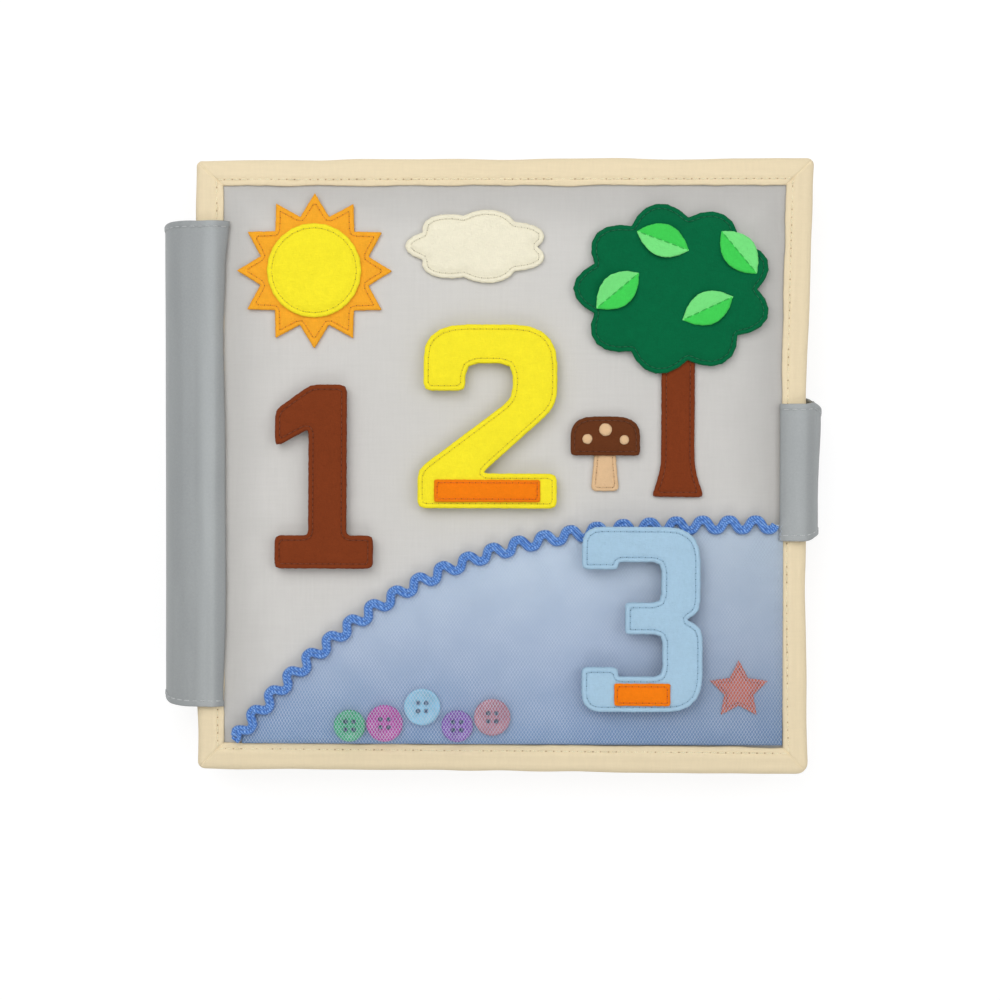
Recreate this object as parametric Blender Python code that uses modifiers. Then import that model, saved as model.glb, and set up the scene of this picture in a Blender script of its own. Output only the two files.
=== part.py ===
"""Quiet book: four padded cloth leaves in a soft spine, with a strap and a felt counting page.

The book lies closed on its back cover. +Z is up, the page's top is +Y, the spine is at -X.
Page places are shares of half the window, the part of a page that its binding leaves free.
"""
import math

import bmesh
import bpy
from mathutils import Vector

MM = 0.001

# Leaf
PAGE = 220.0 * MM
LEAF = 6.0 * MM
BAND = 9.0 * MM
TAPE = 0.9 * MM
EDGE_ROUND = 2.7 * MM
CLOTH = 1.0 * MM
PUFF = 10.0 * MM
CLEAR = 0.3 * MM
LEAF_NAMES = ("back_cover", "leaf_3", "leaf_2", "front_cover")
EDGE_STEPS = 3

# Spine sleeve and strap
SLEEVE = 1.0 * MM
SLEEVE_LENGTH = 175.0 * MM
SPINE_REACH = 12.7 * MM
HINGE_TAPE = 1.2 * MM
STRAP_WIDTH = 49.5 * MM
STRAP_REACH = 5.2 * MM
STRAP_TAB = 22.0 * MM
STRAP_DROP = 2.3 * MM
PATCH_LENGTH = 15.0 * MM
BEND_STEPS = 8

# Pocket
POCKET_HEIGHT = 79.5 * MM
POCKET_CORNER = 6.8 * MM
MOUTH_POWER = 3.2
POCKET_BACKING = 0.8 * MM
MESH = 0.5 * MM
BULGE = 5.2 * MM
LOW_BULGE = 1.6 * MM
BULGE_RUN = 4.0 * MM
BULGE_EASE = 2.0 * MM
BULGE_FALL = 20.0 * MM
HEM_EASE = 1.2 * MM
TRIM_BAND = 3.6 * MM
TRIM_HEIGHT = 8.0 * MM
TRIM_THICK = 1.0 * MM
TRIM_PERIOD = 9.4 * MM
TRIM_STEPS = 6
RUN_SHARES = (0.0, 0.25, 0.6, 1.0)
TIP_ROW_SHARE = 0.25
MESH_COLUMNS = 14
BACKING_COLUMNS = 24
STEEP_POWER = 1.5
FINE_STEPS = 400

# Felt
FELT = 1.2 * MM
INLAY = 0.8 * MM
PATCH = 0.6 * MM
PATCH_WIDTH = 24.0 * MM
PATCH_HEIGHT = 10.0 * MM

# Buttons: name, diameter, lift as a share of its radius, colour
BUTTON_THICK = 2.3 * MM
BUTTON_RIM = 1.5 * MM
BUTTON_DISH = 0.6 * MM
BUTTON_ROUND = 0.5 * MM
BUTTON_HOLE = 1.7 * MM
BUTTON_HOLE_PITCH = 2.9 * MM
SMALL_BUTTON = 11.4 * MM
LARGE_BUTTON = 13.2 * MM
BUTTON_GAP = 1.0 * MM
BUTTON_SIDES = 24
HOLE_SIDES = 8
BUTTONS = (
    ("button_green", SMALL_BUTTON, 0.0, (0.08, 0.32, 0.23)),
    ("button_magenta", LARGE_BUTTON, 0.0, (0.48, 0.09, 0.33)),
    ("button_blue", LARGE_BUTTON, 0.9, (0.38, 0.62, 0.78)),
    ("button_purple", SMALL_BUTTON, 0.0, (0.28, 0.14, 0.40)),
    ("button_pink", LARGE_BUTTON, 0.35, (0.52, 0.30, 0.33)),
)
BUTTON_ROW_INSET = 33.3 * MM

OVERRUN = 2.0 * MM
MERGE = 0.01 * MM

# Colours, linear
CREAM = (0.82, 0.70, 0.48)
PAGE_GREY = (0.60, 0.59, 0.56)
SLEEVE_GREY = (0.36, 0.38, 0.39)
BATTING = (0.85, 0.85, 0.82)
HOOK_WHITE = (0.80, 0.78, 0.70)
BROWN = (0.22, 0.065, 0.028)
DARK_BROWN = (0.13, 0.036, 0.012)
YELLOW = (0.90, 0.85, 0.03)
AMBER = (0.91, 0.42, 0.028)
ORANGE = (0.97, 0.23, 0.004)
PALE_BLUE = (0.46, 0.66, 0.79)
DARK_GREEN = (0.005, 0.22, 0.088)
LEAF_GREEN = (0.085, 0.70, 0.13)
FELT_CREAM = (0.79, 0.55, 0.33)
OFF_WHITE = (0.87, 0.84, 0.66)
SALMON = (0.75, 0.20, 0.15)
SEA_BLUE = (0.20, 0.36, 0.58)
MESH_BLUE = (0.42, 0.52, 0.66)
TRIM_BLUE = (0.14, 0.27, 0.56)

# Outlines: x share, y share, share cut off at the corner
NUMERAL_WIDTH = 50.0 * MM
NUMERAL_HEIGHT = 66.0 * MM
NUMERAL_ONE_WIDTH_SHARE = 0.80
NUMERAL_THREE_WIDTH_SHARE = 0.86
FOOT_BAR_DROP_SHARE = 0.405
NUMERAL_ONE_GAP = 13.2 * MM
NUMERAL_TWO_GAP = 10.2 * MM
BAND_HEIGHT = 8.0 * MM
BAND_LENGTH = 38.0 * MM
SHORT_BAND_LENGTH = 20.0 * MM
ONE_SHARES = (
    (0.06, 0.00, 0.05), (0.94, 0.00, 0.05), (0.94, 0.18, 0.05), (0.70, 0.18, 0.04),
    (0.70, 1.00, 0.06), (0.38, 1.00, 0.06), (0.06, 0.86, 0.06), (0.06, 0.66, 0.06),
    (0.36, 0.76, 0.04), (0.36, 0.18, 0.04), (0.06, 0.18, 0.05),
)
TWO_SHARES = (
    (0.00, 0.00, 0.05), (1.00, 0.00, 0.05), (1.00, 0.19, 0.05), (0.46, 0.19, 0.04),
    (1.00, 0.56, 0.12), (1.00, 1.00, 0.32), (0.04, 1.00, 0.32), (0.04, 0.64, 0.05),
    (0.34, 0.64, 0.05), (0.34, 0.79, 0.09), (0.68, 0.79, 0.09), (0.68, 0.60, 0.08),
    (0.00, 0.21, 0.06),
)
THREE_SHARES = (
    (0.00, 0.00, 0.16), (1.00, 0.00, 0.30), (1.00, 0.46, 0.10), (0.86, 0.50, 0.03),
    (0.98, 0.54, 0.10), (0.98, 1.00, 0.28), (0.00, 1.00, 0.16), (0.00, 0.77, 0.04),
    (0.30, 0.77, 0.04), (0.30, 0.81, 0.02), (0.66, 0.81, 0.07), (0.66, 0.59, 0.07),
    (0.36, 0.59, 0.03), (0.36, 0.42, 0.03), (0.67, 0.42, 0.07), (0.67, 0.19, 0.07),
    (0.30, 0.19, 0.02), (0.30, 0.24, 0.04), (0.00, 0.24, 0.04),
)
BLOCK_SHARES = (
    (0.00, 0.00, 0.08), (1.00, 0.00, 0.08), (1.00, 1.00, 0.08), (0.00, 1.00, 0.08),
)
ROUND_CORNER_SHARE = 0.11
ROUND_STEPS = 5
CORNER_STEPS = 2

# Scenery sizes and places
SUN = 34.0 * MM
SUN_RAYS = 56.0 * MM
SUN_RAY_COUNT = 12
RAY_FOOT_SHARE = 0.72
CLOUD_WIDTH = 52.0 * MM
CLOUD_HEIGHT = 27.0 * MM
CLOUD_LOBES = 7
CROWN_WIDTH = 72.0 * MM
CROWN_HEIGHT = 62.0 * MM
CROWN_LOBES = 9
LOBE_DEPTH_SHARE = 0.16
LOBE_STEPS = 6
TRUNK_WIDTH = 15.0 * MM
TRUNK_TUCK = 9.2 * MM
TRUNK_GAP = 10.3 * MM
SPRIG_LENGTH = 20.0 * MM
SPRIG_WIDTH = 12.0 * MM
SPRIG_SWELL_POWER = 0.8
SPRIG_STEPS = 7
CAP_WIDTH = 25.0 * MM
CAP_HEIGHT = 14.0 * MM
CAP_OVERLAP = 3.2 * MM
STALK_WIDTH = 10.0 * MM
STALK_HEIGHT = 16.0 * MM
STALK_GAP = 14.1 * MM
STARFISH = 22.0 * MM
STARFISH_POINTS = 5
STAR_FOOT_SHARE = 0.50
TRUNK_SHARES = (
    (-0.62, 0.00, 0.10), (0.62, 0.00, 0.10), (0.40, 0.20, 0.30),
    (0.40, 1.00, 0.05), (-0.40, 1.00, 0.05), (-0.40, 0.20, 0.30),
)
CAP_SHARES = (
    (-0.50, 0.00, 0.10), (0.50, 0.00, 0.10), (0.50, 1.00, 0.62), (-0.50, 1.00, 0.62),
)
STALK_SHARES = (
    (-0.50, 0.00, 0.20), (0.50, 0.00, 0.20), (0.36, 1.00, 0.04), (-0.36, 1.00, 0.04),
)
SUN_PLACE_SHARE = (-0.68, 0.69)
CLOUD_PLACE_SHARE = (-0.10, 0.78)
CROWN_PLACE_SHARE = (0.60, 0.63)
TRUNK_X_SHARE = 0.62
STALK_X_SHARE = 0.36
STARFISH_PLACE_SHARE = (0.84, -0.80)
NUMERAL_ONE_X_SHARE = -0.64
NUMERAL_TWO_X_SHARE = -0.06
NUMERAL_THREE_PLACE_SHARE = (0.49, -0.545)
SPRIG_PLACE_SHARES = ((-0.56, -0.03), (-0.11, 0.55), (0.34, -0.23), (0.65, 0.42))
SPRIG_LEANS = (40, -20, 25, -50)

# Sizes that follow from the ones above
HALF_PAGE = PAGE / 2
WINDOW_HALF = HALF_PAGE - BAND
SLOT_HALF = HALF_PAGE - TAPE
PANEL_HALF = SLOT_HALF - CLEAR
PANEL_RISE = TAPE + CLEAR
STACK_FOOT = SLEEVE + CLEAR
LEAF_PITCH = LEAF + CLEAR
PAGE_FACE = STACK_FOOT + LEAF_PITCH * len(LEAF_NAMES) - CLEAR
STACK_TOP = PAGE_FACE + CLEAR + SLEEVE
STACK_MIDDLE = STACK_TOP / 2
PAGE_X = (SPINE_REACH - STRAP_REACH) / 2
FELT_FOOT = PAGE_FACE + CLEAR
BACKING_TOP = FELT_FOOT + POCKET_BACKING
MESH_FOOT = BACKING_TOP + CLEAR
POCKET_FLOOR = -WINDOW_HALF + CLEAR
POCKET_RIGHT = WINDOW_HALF - CLEAR
POCKET_LEFT = POCKET_CORNER - WINDOW_HALF
MOUTH_LENGTH = POCKET_RIGHT - POCKET_LEFT
MOUTH_FOOT = POCKET_FLOOR + TRIM_HEIGHT / 2
MOUTH_RISE = POCKET_HEIGHT - TRIM_HEIGHT / 2
BUTTON_ROW_LEFT = POCKET_LEFT + BUTTON_ROW_INSET
BUTTON_ROW_RIGHT = BUTTON_ROW_LEFT + sum(diameter + CLEAR for _, diameter, _, _ in BUTTONS)
TRIM_SWING = (TRIM_HEIGHT - TRIM_BAND) / 2
HEM = TRIM_HEIGHT / 2 + HEM_EASE
UPPER_FOOT = FELT_FOOT + FELT + CLEAR

for leftover in list(bpy.data.objects):
    bpy.data.objects.remove(leftover)

parts = bpy.data.collections.new("quiet_book")
cutters = bpy.data.collections.new("cutters")
bpy.context.scene.collection.children.link(parts)
bpy.context.scene.collection.children.link(cutters)
body_place = {}
body_frame = {}


def add_body(name, parent, x, y, z):
    """An empty on a moving body's joint axis, which its pieces hang from."""
    frame = bpy.data.objects.new(name + "_frame", None)
    parts.objects.link(frame)
    body_place[name] = Vector((PAGE_X + x, y, z))
    body_frame[name] = frame
    if parent:
        frame.parent = body_frame[parent]
        frame.location = body_place[name] - body_place[parent]
    else:
        frame.location = body_place[name]


def material(name, colour, roughness):
    """A plain dielectric surface of one colour."""
    surface = bpy.data.materials.new(name)
    surface.use_nodes = True
    shader = surface.node_tree.nodes["Principled BSDF"]
    shader.inputs["Base Color"].default_value = (*colour, 1.0)
    shader.inputs["Roughness"].default_value = roughness
    shader.inputs["Metallic"].default_value = 0.0
    return surface


def add_piece(name, data, body, x, y, z, colour, roughness=0.9):
    """A named object at a page place, hung from its body."""
    piece = bpy.data.objects.new(name, data)
    parts.objects.link(piece)
    piece.parent = body_frame[body]
    piece.location = Vector((PAGE_X + x, y, z)) - body_place[body]
    data.materials.clear()
    data.materials.append(material(name, colour, roughness))
    return piece


def add_cutter(name, mesh, x, y, z):
    """A hidden object that a Boolean cuts with."""
    cutter = bpy.data.objects.new(name, mesh)
    cutters.objects.link(cutter)
    cutter.location = (PAGE_X + x, y, z)
    cutter.hide_render = True
    cutter.display_type = "WIRE"
    return cutter


def cut(piece, cutter):
    """Takes a cutter out of a piece."""
    boolean = piece.modifiers.new(cutter.name, "BOOLEAN")
    boolean.operation = "DIFFERENCE"
    boolean.solver = "EXACT"
    boolean.object = cutter


def box_mesh(name, width, depth, height):
    """A box centred on its own origin."""
    bm = bmesh.new()
    bmesh.ops.create_cube(bm, size=1.0)
    bmesh.ops.scale(bm, vec=(width, depth, height), verts=bm.verts)
    mesh = bpy.data.meshes.new(name)
    bm.to_mesh(mesh)
    bm.free()
    return mesh


def grid_mesh(name, columns, rows, place):
    """A sheet of quads, with place(i, j) giving the point of column i, row j."""
    bm = bmesh.new()
    bmesh.ops.create_grid(bm, x_segments=columns, y_segments=rows, size=1.0)
    for vert in bm.verts:
        i = round((vert.co.x + 1) / 2 * columns)
        j = round((vert.co.y + 1) / 2 * rows)
        vert.co = place(i, j)
    mesh = bpy.data.meshes.new(name)
    bm.to_mesh(mesh)
    bm.free()
    return mesh


def thicken(piece, thickness, side):
    """Gives a sheet its thickness, below it for -1 and above it for 1."""
    solidify = piece.modifiers.new("thickness", "SOLIDIFY")
    solidify.thickness = thickness
    solidify.offset = side


def outline_curve(name, points, thickness):
    """A flat closed outline, extruded to a thickness about its own plane."""
    curve = bpy.data.curves.new(name, "CURVE")
    curve.dimensions = "2D"
    curve.fill_mode = "BOTH"
    curve.extrude = thickness / 2
    spline = curve.splines.new("POLY")
    spline.points.add(len(points) - 1)
    for point, (x, y) in zip(spline.points, points):
        point.co = (x, y, 0, 1)
    spline.use_cyclic_u = True
    return curve


def rounded(corners, width, height, shift_x=0.0, shift_y=0.0):
    """The points of an outline given in shares, each corner drawn as a short parabola."""
    size = min(width, height)
    places = [Vector((x * width + shift_x, y * height + shift_y)) for x, y, _ in corners]
    points = []
    for i, (_, _, cut_share) in enumerate(corners):
        here, before, after = places[i], places[i - 1], places[(i + 1) % len(places)]
        steps = ROUND_STEPS if cut_share > ROUND_CORNER_SHARE else CORNER_STEPS
        trim_in = min(cut_share * size, (before - here).length / 2)
        trim_out = min(cut_share * size, (after - here).length / 2)
        start = here + (before - here).normalized() * trim_in
        end = here + (after - here).normalized() * trim_out
        for k in range(steps + 1):
            t = k / steps
            point = start * (1 - t) ** 2 + here * (2 * t * (1 - t)) + end * t ** 2
            if not points or (point - points[-1]).length > CLEAR / 2:
                points.append(point)
    if (points[0] - points[-1]).length < CLEAR / 2:
        points.pop()
    return [(point.x, point.y) for point in points]


def star(count, outer, foot_share):
    """A star outline with points of radius outer."""
    points = []
    for i in range(2 * count):
        angle = math.pi * i / count + math.pi / 2
        radius = outer if i % 2 == 0 else outer * foot_share
        points.append((radius * math.cos(angle), radius * math.sin(angle)))
    return points


def scalloped(width, height, lobes):
    """An oval outline with round lobes along its edge."""
    points = []
    count = lobes * LOBE_STEPS
    for i in range(count):
        angle = 2 * math.pi * i / count
        swell = 1 - LOBE_DEPTH_SHARE * (1 - abs(math.sin(lobes * angle / 2)))
        points.append((width / 2 * swell * math.cos(angle), height / 2 * swell * math.sin(angle)))
    return points


def pointed_oval(length, width):
    """A leaf outline with its tips along X."""
    points = []
    for side in (1, -1):
        for k in range(SPRIG_STEPS):
            t = k / SPRIG_STEPS
            swell = math.sin(math.pi * t) ** SPRIG_SWELL_POWER
            points.append((side * length * (0.5 - t), side * width / 2 * swell))
    return points


def felt(name, points, thickness, body, x, y, foot, colour):
    """A flat felt or cloth piece whose underside is at height foot."""
    curve = outline_curve(name, points, thickness)
    return add_piece(name, curve, body, x, y, foot + thickness / 2, colour)


def window(share):
    """A page place from its shares of half the window."""
    return share[0] * WINDOW_HALF, share[1] * WINDOW_HALF


def ribbon(path, thickness):
    """The outline of a band of even thickness along a path of points."""
    left, right = [], []
    for i, point in enumerate(path):
        along = (path[min(i + 1, len(path) - 1)] - path[max(i - 1, 0)]).normalized()
        across = Vector((-along.y, along.x)) * (thickness / 2)
        left.append(point + across)
        right.append(point - across)
    return [(point.x, point.y) for point in left + right[::-1]]


def sleeve_piece(name, outline, width, body, y, colour):
    """A band drawn in the X-Z plane and extruded along Y."""
    place = body_place[body]
    local = [(x - place.x + PAGE_X, z - place.z) for x, z in outline]
    curve = outline_curve(name, local, width)
    piece = add_piece(name, curve, body, place.x - PAGE_X, y, place.z, colour, 0.7)
    piece.rotation_euler.x = math.pi / 2
    return piece


# Leaves

def leaf_foot(index):
    return STACK_FOOT + LEAF_PITCH * index


def pillow_lines():
    """Grid lines across a panel: its edge, the binding's edge, the puffed run, the flat."""
    steps = [0, PANEL_HALF - WINDOW_HALF, PUFF / 2, PUFF / 2]
    lines, at = [], PANEL_HALF
    for step in steps:
        at -= step
        lines.append(at)
    return [-line for line in lines] + lines[::-1]


def pillow_height(x, y, rise):
    """The padded page's height above its edge: level under the binding, puffed inside it."""
    shares = []
    for place in (x, y):
        t = min(1.0, max(0.0, (WINDOW_HALF - abs(place)) / PUFF))
        shares.append(math.sin(t * math.pi / 2))
    return rise * shares[0] * shares[1]


def panel_mesh(name):
    lines = pillow_lines()
    count = len(lines) - 1

    def place(i, j):
        x, y = lines[i], lines[j]
        return Vector((x, y, pillow_height(x, y, PANEL_RISE)))

    return grid_mesh(name, count, count, place)


def padding_mesh(name):
    """The upper half of the padding, open at the leaf's middle plane."""
    lines = pillow_lines()
    count = len(lines) - 1
    edge_height = LEAF / 2 - PANEL_RISE - CLOTH - CLEAR

    def place(i, j):
        x, y = lines[i], lines[j]
        return Vector((x, y, edge_height + pillow_height(x, y, PANEL_RISE)))

    mesh = grid_mesh(name, count, count, place)
    bm = bmesh.new()
    bm.from_mesh(mesh)
    rim = [edge for edge in bm.edges if edge.is_boundary]
    skirt = bmesh.ops.extrude_edge_only(bm, edges=rim)["geom"]
    for item in skirt:
        if isinstance(item, bmesh.types.BMVert):
            item.co.z = 0
    bmesh.ops.recalc_face_normals(bm, faces=bm.faces)
    bm.to_mesh(mesh)
    bm.free()
    return mesh


def add_binding(leaf, middle):
    """A folded tape round the leaf: a rounded frame with a slot inside for the layers."""
    mesh = box_mesh(leaf + "_binding", PAGE, PAGE, LEAF)
    piece = add_piece(leaf + "_binding", mesh, leaf, 0, 0, middle, CREAM)
    bevel = piece.modifiers.new("folded edge", "BEVEL")
    bevel.width = EDGE_ROUND
    bevel.segments = EDGE_STEPS
    window_box = box_mesh(leaf + "_window", 2 * WINDOW_HALF, 2 * WINDOW_HALF, LEAF + OVERRUN)
    cut(piece, add_cutter(leaf + "_window", window_box, 0, 0, middle))
    slot_box = box_mesh(leaf + "_slot", 2 * SLOT_HALF, 2 * SLOT_HALF, LEAF - 2 * TAPE)
    cut(piece, add_cutter(leaf + "_slot", slot_box, 0, 0, middle))


def add_leaf(index, leaf):
    middle = leaf_foot(index) + LEAF / 2
    face = LEAF / 2 - PANEL_RISE
    add_binding(leaf, middle)
    upper = "outer_panel" if leaf == "front_cover" else "front_panel"
    lower = "outer_panel" if leaf == "back_cover" else "back_panel"
    if leaf == "front_cover":
        lower = "inner_panel"
    if leaf == "back_cover":
        upper = "inner_panel"
    name = leaf + "_" + upper
    top = add_piece(name, panel_mesh(name), leaf, 0, 0, middle + face, PAGE_GREY)
    thicken(top, CLOTH, -1)
    name = leaf + "_" + lower
    under = add_piece(name, panel_mesh(name), leaf, 0, 0, middle - face, PAGE_GREY)
    under.rotation_euler.x = math.pi
    thicken(under, CLOTH, -1)
    name = leaf + "_padding"
    pad = add_piece(name, padding_mesh(name), leaf, 0, 0, middle, BATTING)
    mirror = pad.modifiers.new("lower half", "MIRROR")
    mirror.use_axis = (False, False, True)
    mirror.merge_threshold = MERGE
    return under


# Bodies

add_body("leaf_2", None, 0, 0, 0)
add_body("front_cover", "leaf_2", -HALF_PAGE, 0, STACK_TOP)
add_body("leaf_3", "leaf_2", -HALF_PAGE - SPINE_REACH, 0, STACK_MIDDLE)
add_body("back_cover", "leaf_3", -HALF_PAGE, 0, 0)
add_body("strap", "front_cover", HALF_PAGE, 0, STACK_TOP)

under_panels = {leaf: add_leaf(index, leaf) for index, leaf in enumerate(LEAF_NAMES)}


# Spine

def spine_path(side):
    """From the outermost line of the spine to the fold beside a cover, above or below."""
    radius_x = SPINE_REACH - CLEAR - SLEEVE / 2
    radius_z = STACK_MIDDLE - SLEEVE / 2
    start = math.asin(CLEAR / 2 / radius_z)
    points = []
    for k in range(BEND_STEPS + 1):
        angle = start + (math.pi / 2 - start) * k / BEND_STEPS
        points.append(Vector((
            -HALF_PAGE - CLEAR - radius_x * math.cos(angle),
            STACK_MIDDLE + side * radius_z * math.sin(angle),
        )))
    return points


def sleeve_inside(height):
    """How far the sleeve's inner face stands from the leaves at a height."""
    radius_x = SPINE_REACH - CLEAR - SLEEVE
    radius_z = STACK_MIDDLE - SLEEVE
    lean = min(1.0, abs(height - STACK_MIDDLE) / radius_z)
    return CLEAR + radius_x * math.sqrt(1 - lean ** 2)


sleeve_piece("spine_front_half", ribbon(spine_path(1), SLEEVE), SLEEVE_LENGTH, "leaf_2", 0, SLEEVE_GREY)
sleeve_piece("spine_back_half", ribbon(spine_path(-1), SLEEVE), SLEEVE_LENGTH, "leaf_3", 0, SLEEVE_GREY)

for flap_name, flap_body, flap_middle in (
    ("spine_front_flap", "front_cover", STACK_TOP - SLEEVE / 2),
    ("spine_back_flap", "back_cover", SLEEVE / 2),
):
    flap = box_mesh(flap_name, BAND, SLEEVE_LENGTH, SLEEVE)
    add_piece(flap_name, flap, flap_body, BAND / 2 - HALF_PAGE, 0, flap_middle, SLEEVE_GREY, 0.7)

for tape_body in ("leaf_2", "leaf_3"):
    tape_name = tape_body + "_hinge_tape"
    tape_index = LEAF_NAMES.index(tape_body)
    tape_height = leaf_foot(tape_index) + LEAF / 2
    lean_side = HINGE_TAPE / 2 if tape_height > STACK_MIDDLE else -HINGE_TAPE / 2
    tape_reach = sleeve_inside(tape_height + lean_side) - CLEAR
    tape = box_mesh(tape_name, tape_reach - CLEAR, SLEEVE_LENGTH, HINGE_TAPE)
    tape_x = -HALF_PAGE - CLEAR - (tape_reach - CLEAR) / 2
    add_piece(tape_name, tape, tape_body, tape_x, 0, tape_height, PAGE_GREY)


# Strap

def strap_path():
    """Round the fore-edge from the front cover's edge to under the back cover."""
    swell = STRAP_REACH - CLEAR - SLEEVE / 2
    radius = STACK_MIDDLE - SLEEVE / 2
    points = []
    for k in range(2 * BEND_STEPS + 1):
        angle = math.pi * k / (2 * BEND_STEPS)
        points.append(Vector((
            HALF_PAGE + CLEAR + swell * math.sin(angle),
            STACK_MIDDLE + radius * math.cos(angle),
        )))
    points.append(Vector((HALF_PAGE - STRAP_TAB, SLEEVE / 2)))
    return points


tab = box_mesh("strap_front_tab", BAND, STRAP_WIDTH, SLEEVE)
add_piece(
    "strap_front_tab", tab, "front_cover", HALF_PAGE - BAND / 2, -STRAP_DROP, STACK_TOP - SLEEVE / 2,
    SLEEVE_GREY, 0.7,
)
sleeve_piece("strap_tail", ribbon(strap_path(), SLEEVE), STRAP_WIDTH, "strap", -STRAP_DROP, SLEEVE_GREY)
patch_x = HALF_PAGE - STRAP_TAB - CLEAR - PATCH_LENGTH / 2
hook_end = box_mesh("strap_hook_patch", PATCH_LENGTH, STRAP_WIDTH, SLEEVE)
add_piece("strap_hook_patch", hook_end, "strap", patch_x, -STRAP_DROP, SLEEVE / 2, HOOK_WHITE)
loop_end = box_mesh("strap_loop_patch", PATCH_LENGTH, STRAP_WIDTH, CLOTH)
add_piece(
    "strap_loop_patch", loop_end, "back_cover", patch_x, -STRAP_DROP, STACK_FOOT + CLOTH / 2, HOOK_WHITE,
)
patch_hole = box_mesh("patch_hole", PATCH_LENGTH + 2 * CLEAR, STRAP_WIDTH + 2 * CLEAR, CLOTH + OVERRUN)
cut(under_panels["back_cover"], add_cutter("patch_hole", patch_hole, patch_x, -STRAP_DROP, STACK_FOOT))


# Pocket

def mouth_lean(x):
    """How far x is from the mouth's level right end, as a share of the mouth's length."""
    return max(0.0, POCKET_RIGHT - x) / MOUTH_LENGTH


def pocket_top(x):
    """The height of the pocket's mouth at x: steep at its left end and level at its right."""
    return MOUTH_FOOT + MOUTH_RISE * (1 - mouth_lean(x) ** MOUTH_POWER)


def hem(x):
    """The flat hem under the trim, measured straight up, which grows where the mouth is steep."""
    slope = MOUTH_RISE / MOUTH_LENGTH * MOUTH_POWER * mouth_lean(x) ** (MOUTH_POWER - 1)
    return HEM * math.sqrt(1 + slope ** 2)


def pocket_columns(count):
    """Places along X, closer together where the curve is steep."""
    return [POCKET_LEFT + MOUTH_LENGTH * (i / count) ** STEEP_POWER for i in range(count + 1)]


def pocket_plateau(x):
    """How far the mesh stands off: over the buttons, and pressed flatter to their right."""
    t = min(1.0, max(0.0, (x - BUTTON_ROW_RIGHT - BULGE_EASE) / BULGE_FALL))
    return BULGE + (LOW_BULGE - BULGE) * t * t * (3 - 2 * t)


def mesh_rise(gap):
    """The share of its full rise that the mesh has at a distance inside its seam."""
    t = min(1.0, max(0.0, gap / BULGE_RUN))
    return math.sqrt(1 - (1 - t) ** 2)


def pocket_rows(x):
    """Places up the pocket at x: close to its seams, then even between."""
    top = pocket_top(x)
    low = POCKET_FLOOR
    room = (top - hem(x) - low) / 2
    run = min(BULGE_RUN, room)
    inside_low = [low + run * share for share in RUN_SHARES]
    inside_top = [top - hem(x) - run * share for share in RUN_SHARES]
    if room < CLEAR:
        row = (top - low) * TIP_ROW_SHARE
        inside_low = [low + row * share for share in RUN_SHARES]
        inside_top = [top - row * (2 + share) for share in RUN_SHARES]
    return inside_low + [(inside_low[-1] + inside_top[-1]) / 2] + inside_top[::-1] + [top]


def mesh_place(i, j):
    columns = mesh_columns()
    x = columns[i]
    y = pocket_rows(x)[j]
    gap = min(y - POCKET_FLOOR, pocket_top(x) - hem(x) - y, POCKET_RIGHT - x, x - columns[0])
    return Vector((x, y, pocket_plateau(x) * mesh_rise(gap)))


def mesh_columns():
    columns = pocket_columns(MESH_COLUMNS)
    return columns[:-1] + [POCKET_RIGHT - BULGE_RUN * share for share in RUN_SHARES[::-1]]


backing_columns = pocket_columns(BACKING_COLUMNS)
backing_points = [(x, pocket_top(x)) for x in backing_columns]
backing_points += [(POCKET_RIGHT, POCKET_FLOOR), (POCKET_LEFT, POCKET_FLOOR)]
felt("pocket_backing", backing_points, POCKET_BACKING, "front_cover", 0, 0, FELT_FOOT, SEA_BLUE)

pocket_sheet = grid_mesh("pocket_mesh", len(mesh_columns()) - 1, len(pocket_rows(0)) - 1, mesh_place)
pocket_mesh = add_piece("pocket_mesh", pocket_sheet, "front_cover", 0, 0, MESH_FOOT, MESH_BLUE)
thicken(pocket_mesh, MESH, 1)


def trim_line():
    """Even steps along the mouth's curve, with the distance run."""
    run = MOUTH_LENGTH - TRIM_BAND
    fine = [POCKET_LEFT + run * (k / FINE_STEPS) ** 2 for k in range(FINE_STEPS + 1)]
    curve = [Vector((x, pocket_top(x))) for x in fine]
    runs = [0.0]
    for before, after in zip(curve, curve[1:]):
        runs.append(runs[-1] + (after - before).length)
    waves = max(1, round(runs[-1] / TRIM_PERIOD))
    count = waves * TRIM_STEPS
    line, k = [], 0
    for i in range(count + 1):
        wanted = runs[-1] * i / count
        while k < len(runs) - 2 and runs[k + 1] < wanted:
            k += 1
        t = (wanted - runs[k]) / (runs[k + 1] - runs[k])
        line.append(curve[k].lerp(curve[k + 1], t))
    return line


def direction(points, i):
    return (points[min(i + 1, len(points) - 1)] - points[max(i - 1, 0)]).normalized()


def trim_points():
    """The middle of the wavy band."""
    line = trim_line()
    points = []
    for i, point in enumerate(line):
        along = direction(line, i)
        across = Vector((-along.y, along.x))
        points.append(point + across * (TRIM_SWING * math.sin(2 * math.pi * i / TRIM_STEPS)))
    return points


trim_middle = trim_points()


def trim_place(i, j):
    along = direction(trim_middle, i)
    across = Vector((-along.y, along.x)) * (TRIM_BAND * (j - 0.5))
    point = trim_middle[i] + across
    return Vector((point.x, point.y, 0))


trim_sheet = grid_mesh("pocket_trim", len(trim_middle) - 1, 1, trim_place)
trim = add_piece("pocket_trim", trim_sheet, "front_cover", 0, 0, MESH_FOOT + MESH + CLEAR, TRIM_BLUE)
thicken(trim, TRIM_THICK, 1)


# Buttons

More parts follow.
